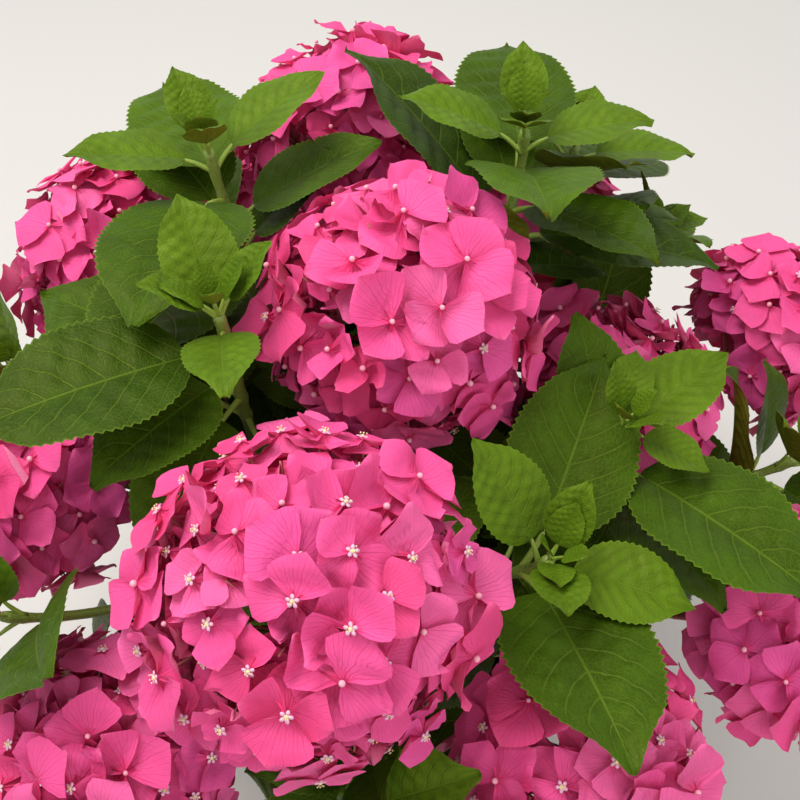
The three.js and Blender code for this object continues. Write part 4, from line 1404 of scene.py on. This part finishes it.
class Finish:
    """A material under construction: short ways to add the nodes that the finishes share."""

    def __init__(self, name, **values):
        self.material = bpy.data.materials.new(name)
        self.material.use_nodes = True
        self.tree = self.material.node_tree
        self.shader = self.tree.nodes["Principled BSDF"]
        for socket, value in values.items():
            self.shader.inputs[socket.replace("_", " ")].default_value = value

    def node(self, kind, **settings):
        made = self.tree.nodes.new(kind)
        for name, value in settings.items():
            setattr(made, name, value)
        return made

    def feed(self, socket, value):
        """Sets an input, by a link where the value comes from another node."""
        if isinstance(value, bpy.types.NodeSocket):
            self.tree.links.new(value, socket)
        else:
            socket.default_value = value

    def fill(self, made, **values):
        """Sets a node's inputs by their names."""
        for name, value in values.items():
            self.feed(made.inputs[name.replace("_", " ")], value)
        return made

    def coordinates(self, kind="Object"):
        return self.node("ShaderNodeTexCoord").outputs[kind]

    def across_and_along(self):
        """The two numbers of the piece's own UVs."""
        return self.fill(self.node("ShaderNodeSeparateXYZ"), Vector=self.coordinates("UV")).outputs[:2]

    def noise(self, scale, detail=4.0, roughness=0.55, source=None):
        made = self.node("ShaderNodeTexNoise")
        source = source or self.coordinates()
        return self.fill(made, Scale=scale, Detail=detail, Roughness=roughness, Vector=source).outputs["Fac"]

    def cracks(self, scale):
        """The distance to the nearest edge of a net of cells."""
        made = self.node("ShaderNodeTexVoronoi", feature="DISTANCE_TO_EDGE")
        return self.fill(made, Scale=scale, Vector=self.coordinates()).outputs["Distance"]

    def math(self, operation, *values):
        made = self.node("ShaderNodeMath", operation=operation)
        for socket, value in zip(made.inputs, values):
            self.feed(socket, value)
        return made.outputs[0]

    def ramp(self, value, low, high, low_to=0.0, high_to=1.0):
        made = self.node("ShaderNodeMapRange", interpolation_type="SMOOTHSTEP")
        self.fill(made, Value=value, From_Min=low, From_Max=high, To_Min=low_to, To_Max=high_to)
        return made.outputs["Result"]

    def blend(self, share, first, second):
        made = self.fill(self.node("ShaderNodeMix", data_type="RGBA"), Factor=share)
        colours = [socket for socket in made.inputs if socket.type == "RGBA"]
        for socket, value in zip(colours, (first, second)):
            self.feed(socket, value)
        return [socket for socket in made.outputs if socket.type == "RGBA"][0]

    def mottle(self, share, colour, dark, light):
        """A drift from a darker to a lighter tone of one colour."""
        return self.blend(share, shade(colour, dark), shade(colour, light))

    def paint(self, tone):
        self.fill(self.shader, Base_Color=tone)

    def bump(self, height, strength, distance):
        made = self.fill(self.node("ShaderNodeBump"), Height=height, Strength=strength, Distance=distance)
        self.fill(self.shader, Normal=made.outputs["Normal"])

    def let_light_through(self, share, colour):
        """Mixes in a little translucent light, as a thin leaf or petal passes."""
        through = self.fill(self.node("ShaderNodeBsdfTranslucent"), Color=colour)
        mix = self.node("ShaderNodeMixShader")
        mix.inputs["Fac"].default_value = share
        self.tree.links.new(self.shader.outputs["BSDF"], mix.inputs[1])
        self.tree.links.new(through.outputs["BSDF"], mix.inputs[2])
        self.fill(self.tree.nodes["Material Output"], Surface=mix.outputs["Shader"])


def shade(colour, factor=1.0):
    """A colour, or one of the scene's colours by its name, made lighter or darker, with full alpha."""
    if isinstance(colour, str):
        colour = getattr(bpy.context.scene.hydrangea_colours, colour)
    return tuple(min(1.0, part * factor) for part in colour[:3]) + (1.0,)


def between(first, second, share):
    """A colour part of the way from one to another."""
    return tuple(a + (b - a) * share for a, b in zip(first, second))


def sepal_finish(name, colour):
    """A sepal: fine darker veins that fan out from its foot, a deeper foot and a paler rim."""
    finish = Finish(name, Roughness=0.6, Specular_IOR_Level=0.3)
    angle, reach = finish.across_and_along()
    wandering = finish.math("ADD", angle, finish.math("MULTIPLY", finish.noise(110, 1), 0.07))
    veins = None
    for lines, begins, strength in SEPAL_VEINS:
        between_lines = finish.math("PINGPONG", finish.math("MULTIPLY", wandering, lines), 0.5)
        off_line = finish.math("MULTIPLY", between_lines, reach)
        line = finish.ramp(off_line, 0.0, 0.006 * lines, strength, 0.0)
        line = finish.math("MULTIPLY", line, finish.ramp(reach, begins, begins + 0.25))
        veins = line if veins is None else finish.math("MAXIMUM", veins, line)
    body = finish.mottle(finish.ramp(finish.noise(70, 3), 0.3, 0.7), colour, 0.93, 1.05)
    body = finish.blend(finish.ramp(reach, 0.0, 0.32, 0.6, 0.0), body, shade("sepal_foot"))
    body = finish.blend(finish.ramp(reach, 0.82, 1.0, 0.0, 0.3), body, shade("sepal_margin"))
    shown = finish.math("MULTIPLY", veins, finish.ramp(reach, 0.15, 0.95, 0.5, 0.3))
    finish.paint(finish.blend(shown, body, shade("sepal_vein")))
    finish.bump(finish.math("MULTIPLY_ADD", veins, -0.45, finish.noise(300, 3, 0.75)), 0.45, 0.0009)
    finish.let_light_through(0.28, shade(colour))
    return finish.material


@functools.cache
def sepal_finishes():
    """The four tints of rose and the pale backs, in the order of their numbers."""
    tints = [sepal_finish(f"{name} sepal", name.replace(" ", "_")) for name in ROSE_TINTS]
    return tints + [sepal_finish("sepal back", "sepal_back")]


def leaf_finish(name, colour, upper):
    """A leaf face: a pale midrib, arching side veins with painted shade in the furrows beside them, and a net
    of fine veins, with a waxy gloss above."""
    finish = Finish(
        name,
        Roughness=0.4 if upper else 0.68,
        Specular_IOR_Level=0.18 if upper else 0.06,
        Specular_Tint=(1.0, 0.95, 0.35, 1.0),
    )
    across, along = finish.across_and_along()
    side = finish.math("ABSOLUTE", finish.math("MULTIPLY_ADD", across, 2.0, -1.0))
    arch = finish.math("MULTIPLY", finish.math("POWER", side, VEIN_BEND), -VEIN_ARCH)
    count = finish.math("MULTIPLY_ADD", finish.math("ADD", along, arch), VEIN_PAIRS, FIRST_VEIN)
    from_vein = finish.math("PINGPONG", count, 0.5)
    fading = finish.ramp(side, 0.55, 1.0, 1.0, 0.25)
    side_vein = finish.math("MULTIPLY", finish.ramp(from_vein, 0.015, 0.07, 1.0, 0.0), fading)
    # Painted shade: the body darkens in the furrow on each side of every side vein
    painted_furrow_shade = finish.math("MULTIPLY", finish.ramp(from_vein, 0.05, 0.4, 0.34, 0.0), fading)
    midrib = finish.ramp(side, 0.008, 0.034, 1.0, 0.0)
    veins = finish.math("MAXIMUM", finish.math("MULTIPLY", side_vein, 0.8), midrib)
    mesh_of_veins = finish.ramp(finish.cracks(430), 0.0, 0.14)
    fine_veins = finish.math("MULTIPLY_ADD", mesh_of_veins, -0.2, 0.2)
    body = finish.mottle(finish.ramp(finish.noise(38, 5), 0.3, 0.72), colour, 0.8, 1.18)
    body = finish.blend(painted_furrow_shade, body, shade(colour, 0.55))
    veins_shown = finish.math("MAXIMUM", finish.math("MULTIPLY", veins, 0.55), fine_veins)
    body = finish.blend(veins_shown, body, between(shade(colour), shade("leaf_vein"), 0.75))
    finish.paint(finish.blend(finish.ramp(side, 0.955, 1.0, 0.0, 0.5), body, shade("leaf_vein")))
    relief = finish.math("MULTIPLY", mesh_of_veins, 0.25)
    relief = finish.math("MULTIPLY_ADD", veins, -0.9 if upper else 0.9, relief)
    finish.bump(relief, 0.55 if upper else 0.4, 0.0008)
    finish.let_light_through(0.12, shade(colour, 1.3))
    return finish.material


@functools.cache
def leaf_finishes():
    """The leaf tints and undersides, in the order of their numbers."""
    tints = [leaf_finish(name, name.replace(" ", "_"), True) for name in LEAF_TINTS]
    underside = leaf_finish("leaf underside", "leaf_underside", False)
    return tints + [underside, leaf_finish("young leaf underside", shade("leaf_underside", 1.15), False)]


@functools.cache
def stem_finish():
    """A green stem with dark purple stipples."""
    finish = Finish("green stem", Roughness=0.45)
    dots = finish.ramp(finish.noise(1100, 1), 0.6, 0.66, 0.0, 0.8)
    finish.paint(finish.blend(dots, finish.mottle(finish.noise(60, 3), "stem", 0.8, 1.2), shade("stipple")))
    finish.bump(finish.noise(500, 3), 0.2, 0.0005)
    return finish.material


@functools.cache
def stalk_finish():
    """A pale leaf stalk, faintly ribbed."""
    finish = Finish("leaf stalk", Roughness=0.42)
    finish.paint(finish.mottle(finish.noise(90, 3), "stalk", 0.85, 1.15))
    finish.bump(finish.noise(700, 2), 0.15, 0.0004)
    return finish.material


@functools.cache
def heart_finishes():
    """The small matte parts inside a head, each with a faint mottle, in the order of their numbers."""
    made = []
    for name, colour, roughness in HEART_PARTS:
        finish = Finish(name, Roughness=roughness)
        finish.paint(finish.mottle(finish.noise(420, 3), colour, 0.85, 1.1))
        made.append(finish.material)
    return made


@functools.cache
def bark_finish():
    """Grey-brown bark in long streaks."""
    finish = Finish("bark", Roughness=0.85)
    stretched = finish.node("ShaderNodeMapping")
    finish.fill(stretched, Vector=finish.coordinates(), Scale=(1.0, 1.0, 0.18))
    streaks = finish.noise(420, 6, 0.65, stretched.outputs["Vector"])
    finish.paint(finish.mottle(finish.ramp(streaks, 0.35, 0.7), "bark", 0.55, 1.35))
    finish.bump(streaks, 0.6, 0.0012)
    return finish.material


@functools.cache
def soil_finish(name, lightness):
    """Dark potting soil with fine grain."""
    finish = Finish(name, Roughness=0.95)
    grain = finish.noise(700, 8, 0.7)
    finish.paint(finish.mottle(finish.ramp(grain, 0.35, 0.7), "soil", 0.45 * lightness, 1.3 * lightness))
    finish.bump(grain, 0.8, 0.0015)
    return finish.material


@functools.cache
def glaze_finish():
    """Oxblood glaze: darker where it pools, with dark specks and a clear gloss."""
    finish = Finish("oxblood glaze", Coat_Weight=0.5, Coat_Roughness=0.08)
    pooled = finish.ramp(finish.noise(16, 5, 0.6), 0.3, 0.75)
    specks = finish.ramp(finish.noise(620, 2), 0.68, 0.76, 0.0, 0.25)
    tone = finish.mottle(pooled, "glaze", 0.82, 1.12)
    finish.paint(finish.blend(specks, tone, shade("glaze", 0.3)))
    finish.fill(finish.shader, Roughness=finish.ramp(finish.noise(45, 4), 0.3, 0.7, 0.14, 0.22))
    finish.bump(finish.noise(28, 4), 0.12, 0.002)
    return finish.material


def size_choice(name, description, default, unit="NONE"):
    """One size that a user may change."""
    return bpy.props.FloatProperty(name=name, description=description, default=default, unit=unit)


def colour_choice(name, description, default):
    """One colour that a user may change."""
    return bpy.props.FloatVectorProperty(
        name=name, description=description, default=default, size=3, min=0.0, max=1.0, subtype="COLOR"
    )


class HydrangeaSizes(bpy.types.PropertyGroup):
    """Sizes of the fine growth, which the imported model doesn't hold."""

    leaf_thickness: size_choice("Leaf thickness", "Thickness of a blade at its middle", 0.0007, "LENGTH")
    tooth_depth: size_choice("Tooth depth", "Depth of a leaf's teeth as a share of its half width", 0.028)
    leaf_quilting: size_choice("Leaf quilting", "Swelling between the veins as a share of the length", 0.016)
    leaf_waviness: size_choice("Leaf waviness", "Rise and fall of the margin as a share of the length", 0.028)
    floret_count: bpy.props.IntProperty(
        name="Florets", description="Number of florets in a flower head", default=96, min=20, max=160
    )
    floret_tilt: size_choice("Floret tilt", "How far florets lean from straight out, in degrees", 18.0)
    sepal_length: size_choice("Sepal length", "Length of a full-grown sepal", 0.024, "LENGTH")
    sepal_width: size_choice("Sepal width", "Width of a sepal as a share of its length", 1.28)
    sepal_thickness: size_choice("Sepal thickness", "Thickness of a sepal at its middle", 0.0004, "LENGTH")
    sepal_waviness: size_choice("Sepal waviness", "Rise and fall of a sepal's margin as a share of it", 0.07)
    open_flowers: size_choice("Open flowers", "Share of opened middles, on the front heads", 0.7)


class HydrangeaColours(bpy.types.PropertyGroup):
    """Colours of the plant and its pot, as linear light."""

    rose: colour_choice("Rose", "The commonest tint of the sepals", (0.9, 0.1, 0.355))
    deep_rose: colour_choice("Deep rose", "The warmer, deeper tint of the sepals", (0.89, 0.084, 0.3))
    pale_rose: colour_choice("Pale rose", "The palest tint of the sepals", (0.92, 0.142, 0.415))
    # A few florets have the mauve tint at random; dealing it mostly low on each head is painted shade
    mauve_rose: colour_choice("Mauve rose", "The cooler tint low on each head", (0.84, 0.1, 0.375))
    sepal_back: colour_choice("Sepal back", "The paler back of every sepal", (0.9, 0.24, 0.45))
    sepal_foot: colour_choice("Sepal foot", "The deep colour at the foot of a sepal", (0.78, 0.03, 0.15))
    sepal_margin: colour_choice("Sepal margin", "The paler rim of a sepal", (0.92, 0.2, 0.42))
    sepal_vein: colour_choice("Sepal vein", "The fine veins of a sepal", (0.55, 0.015, 0.12))
    bead: colour_choice("Bead", "The closed middle of a floret", (0.85, 0.36, 0.48))
    small_petal: colour_choice("Small petal", "The tiny petals of an open middle", (0.74, 0.42, 0.6))
    anther: colour_choice("Anther", "The cream anthers of an open middle", (0.8, 0.68, 0.38))
    flower_stalk: colour_choice("Flower stalk", "The stalks inside a head", (0.42, 0.12, 0.12))
    deep_leaf: colour_choice("Deep leaf", "The deepest leaf green", (0.024, 0.058, 0.002))
    mid_leaf: colour_choice("Mid leaf", "The commonest leaf green", (0.038, 0.084, 0.003))
    bright_leaf: colour_choice("Bright leaf", "The brighter leaf green", (0.06, 0.125, 0.004))
    young_leaf: colour_choice("Young leaf", "The green of young leaves", (0.085, 0.16, 0.007))
    leaf_underside: colour_choice("Leaf underside", "The pale underside of a leaf", (0.17, 0.215, 0.018))
    leaf_vein: colour_choice("Leaf vein", "The pale midrib and veins", (0.14, 0.23, 0.018))
    stem: colour_choice("Stem", "The green stems", (0.17, 0.25, 0.035))
    stipple: colour_choice("Stipple", "The dark stipples on the stems", (0.05, 0.02, 0.03))
    stalk: colour_choice("Leaf stalk", "The pale stalks of the leaves", (0.26, 0.38, 0.05))
    bark: colour_choice("Bark", "The bark of the canes", (0.2, 0.13, 0.075))
    soil: colour_choice("Soil", "The potting soil", (0.06, 0.038, 0.02))
    glaze: colour_choice("Glaze", "The glaze of the pot", (0.15, 0.014, 0.007))


class HYDRANGEA_OT_pot(bpy.types.Operator):
    """Make the glazed pot"""

    bl_idname = "hydrangea.pot"
    bl_label = "Pot"

    def execute(self, context):
        make_pot()
        return {"FINISHED"}


class HYDRANGEA_OT_soil(bpy.types.Operator):
    """Fill the pot with soil"""

    bl_idname = "hydrangea.soil"
    bl_label = "Soil"

    def execute(self, context):
        make_soil()
        return {"FINISHED"}


class HYDRANGEA_OT_wood(bpy.types.Operator):
    """Make the woody crown and the canes"""

    bl_idname = "hydrangea.wood"
    bl_label = "Crown and canes"

    def execute(self, context):
        make_woody_base()
        return {"FINISHED"}


class HYDRANGEA_OT_stems(bpy.types.Operator):
    """Grow the green stems and leaf stalks"""

    bl_idname = "hydrangea.stems"
    bl_label = "Stems"

    def execute(self, context):
        for cane in CANES:
            make_stem_piece(cane, plant()[cane[0]])
        return {"FINISHED"}


class HYDRANGEA_OT_leaves(bpy.types.Operator):
    """Grow the leaves of every mass"""

    bl_idname = "hydrangea.leaves"
    bl_label = "Leaves"

    def execute(self, context):
        for name, grown in plant().items():
            if not any(leaves for _, leaves in grown):
                raise RuntimeError(f"no leaf of the mass {name} was found in the packed model")
            make_leaf_piece(name, grown)
        return {"FINISHED"}


class HYDRANGEA_OT_flowers(bpy.types.Operator):
    """Grow the flower heads"""

    bl_idname = "hydrangea.flowers"
    bl_label = "Flower heads"

    def execute(self, context):
        for shoot, _ in itertools.chain(*plant().values()):
            if shoot.head:
                make_head(shoot)
        return {"FINISHED"}


class HYDRANGEA_OT_stage(bpy.types.Operator):
    """Set the pale floor, the soft light and the camera"""

    bl_idname = "hydrangea.stage"
    bl_label = "Stage"

    def execute(self, context):
        make_floor()
        for light in LIGHTS:
            make_light(*light)
        world = bpy.data.worlds.new("soft sky")
        context.scene.world = world
        world.use_nodes = True
        sky = world.node_tree.nodes["Background"]
        sky.inputs["Color"].default_value = SKY_COLOUR
        sky.inputs["Strength"].default_value = SKY_STRENGTH
        context.scene.view_settings.view_transform = "Standard"
        make_camera()
        return {"FINISHED"}


def make_floor():
    """A wide pale floor under the pot."""
    shape = bmesh.new()
    bmesh.ops.create_grid(shape, x_segments=2, y_segments=2, size=FLOOR_SIZE)
    bmesh.ops.translate(shape, vec=(0, 0, -0.5 * MM), verts=shape.verts)
    mesh = bpy.data.meshes.new("floor")
    shape.to_mesh(mesh)
    shape.free()
    mesh.materials.append(Finish("pale floor", Roughness=0.8, Base_Color=FLOOR_COLOUR).material)
    link(bpy.data.objects.new("floor", mesh))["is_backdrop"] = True


def make_light(name, place, power, size):
    """A soft square light that faces the middle of the plant."""
    light = bpy.data.lights.new(name, "AREA")
    light.energy = power
    light.size = size
    light.color = LIGHT_COLOUR
    lamp = link(bpy.data.objects.new(name, light))
    lamp.location = place
    lamp.rotation_mode = "QUATERNION"
    lamp.rotation_quaternion = (LIT_PLACE - Vector(place)).to_track_quat("-Z", "Y")


def make_camera():
    """The photograph's view: from the front, looking down."""
    data = bpy.data.cameras.new("camera")
    data.sensor_width = SENSOR_MM
    data.lens = SENSOR_MM * FOCAL_PIXELS / FRAME_PIXELS
    camera = link(bpy.data.objects.new("camera", data))
    camera.location = CAMERA_PLACE
    camera.rotation_euler = (math.radians(90 - CAMERA_ELEVATION), 0, 0)
    bpy.context.scene.camera = camera


OPERATORS = (
    HYDRANGEA_OT_pot,
    HYDRANGEA_OT_soil,
    HYDRANGEA_OT_wood,
    HYDRANGEA_OT_stems,
    HYDRANGEA_OT_leaves,
    HYDRANGEA_OT_flowers,
    HYDRANGEA_OT_stage,
)


class HYDRANGEA_PT_panel(bpy.types.Panel):
    """Sizes, colours and the steps of making the plant"""

    bl_label = "Hydrangea"
    bl_idname = "HYDRANGEA_PT_panel"
    bl_space_type = "VIEW_3D"
    bl_region_type = "UI"
    bl_category = "Hydrangea"

    def draw(self, context):
        for operator in OPERATORS:
            self.layout.operator(operator.bl_idname)
        for group in (context.scene.hydrangea_sizes, context.scene.hydrangea_colours):
            box = self.layout.box()
            for name in group.__annotations__:
                box.prop(group, name)


CLASSES = (HydrangeaSizes, HydrangeaColours, *OPERATORS, HYDRANGEA_PT_panel)


def register():
    for made in CLASSES:
        bpy.utils.register_class(made)
    bpy.types.Scene.hydrangea_sizes = bpy.props.PointerProperty(type=HydrangeaSizes)
    bpy.types.Scene.hydrangea_colours = bpy.props.PointerProperty(type=HydrangeaColours)


def unregister():
    del bpy.types.Scene.hydrangea_colours
    del bpy.types.Scene.hydrangea_sizes
    for made in reversed(CLASSES):
        bpy.utils.unregister_class(made)


def main():
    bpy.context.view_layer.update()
    register()
    bpy.ops.hydrangea.pot()
    bpy.ops.hydrangea.soil()
    bpy.ops.hydrangea.wood()
    bpy.ops.hydrangea.stems()
    bpy.ops.hydrangea.leaves()
    bpy.ops.hydrangea.flowers()
    bpy.ops.hydrangea.stage()


if __name__ == "__main__":
    main()
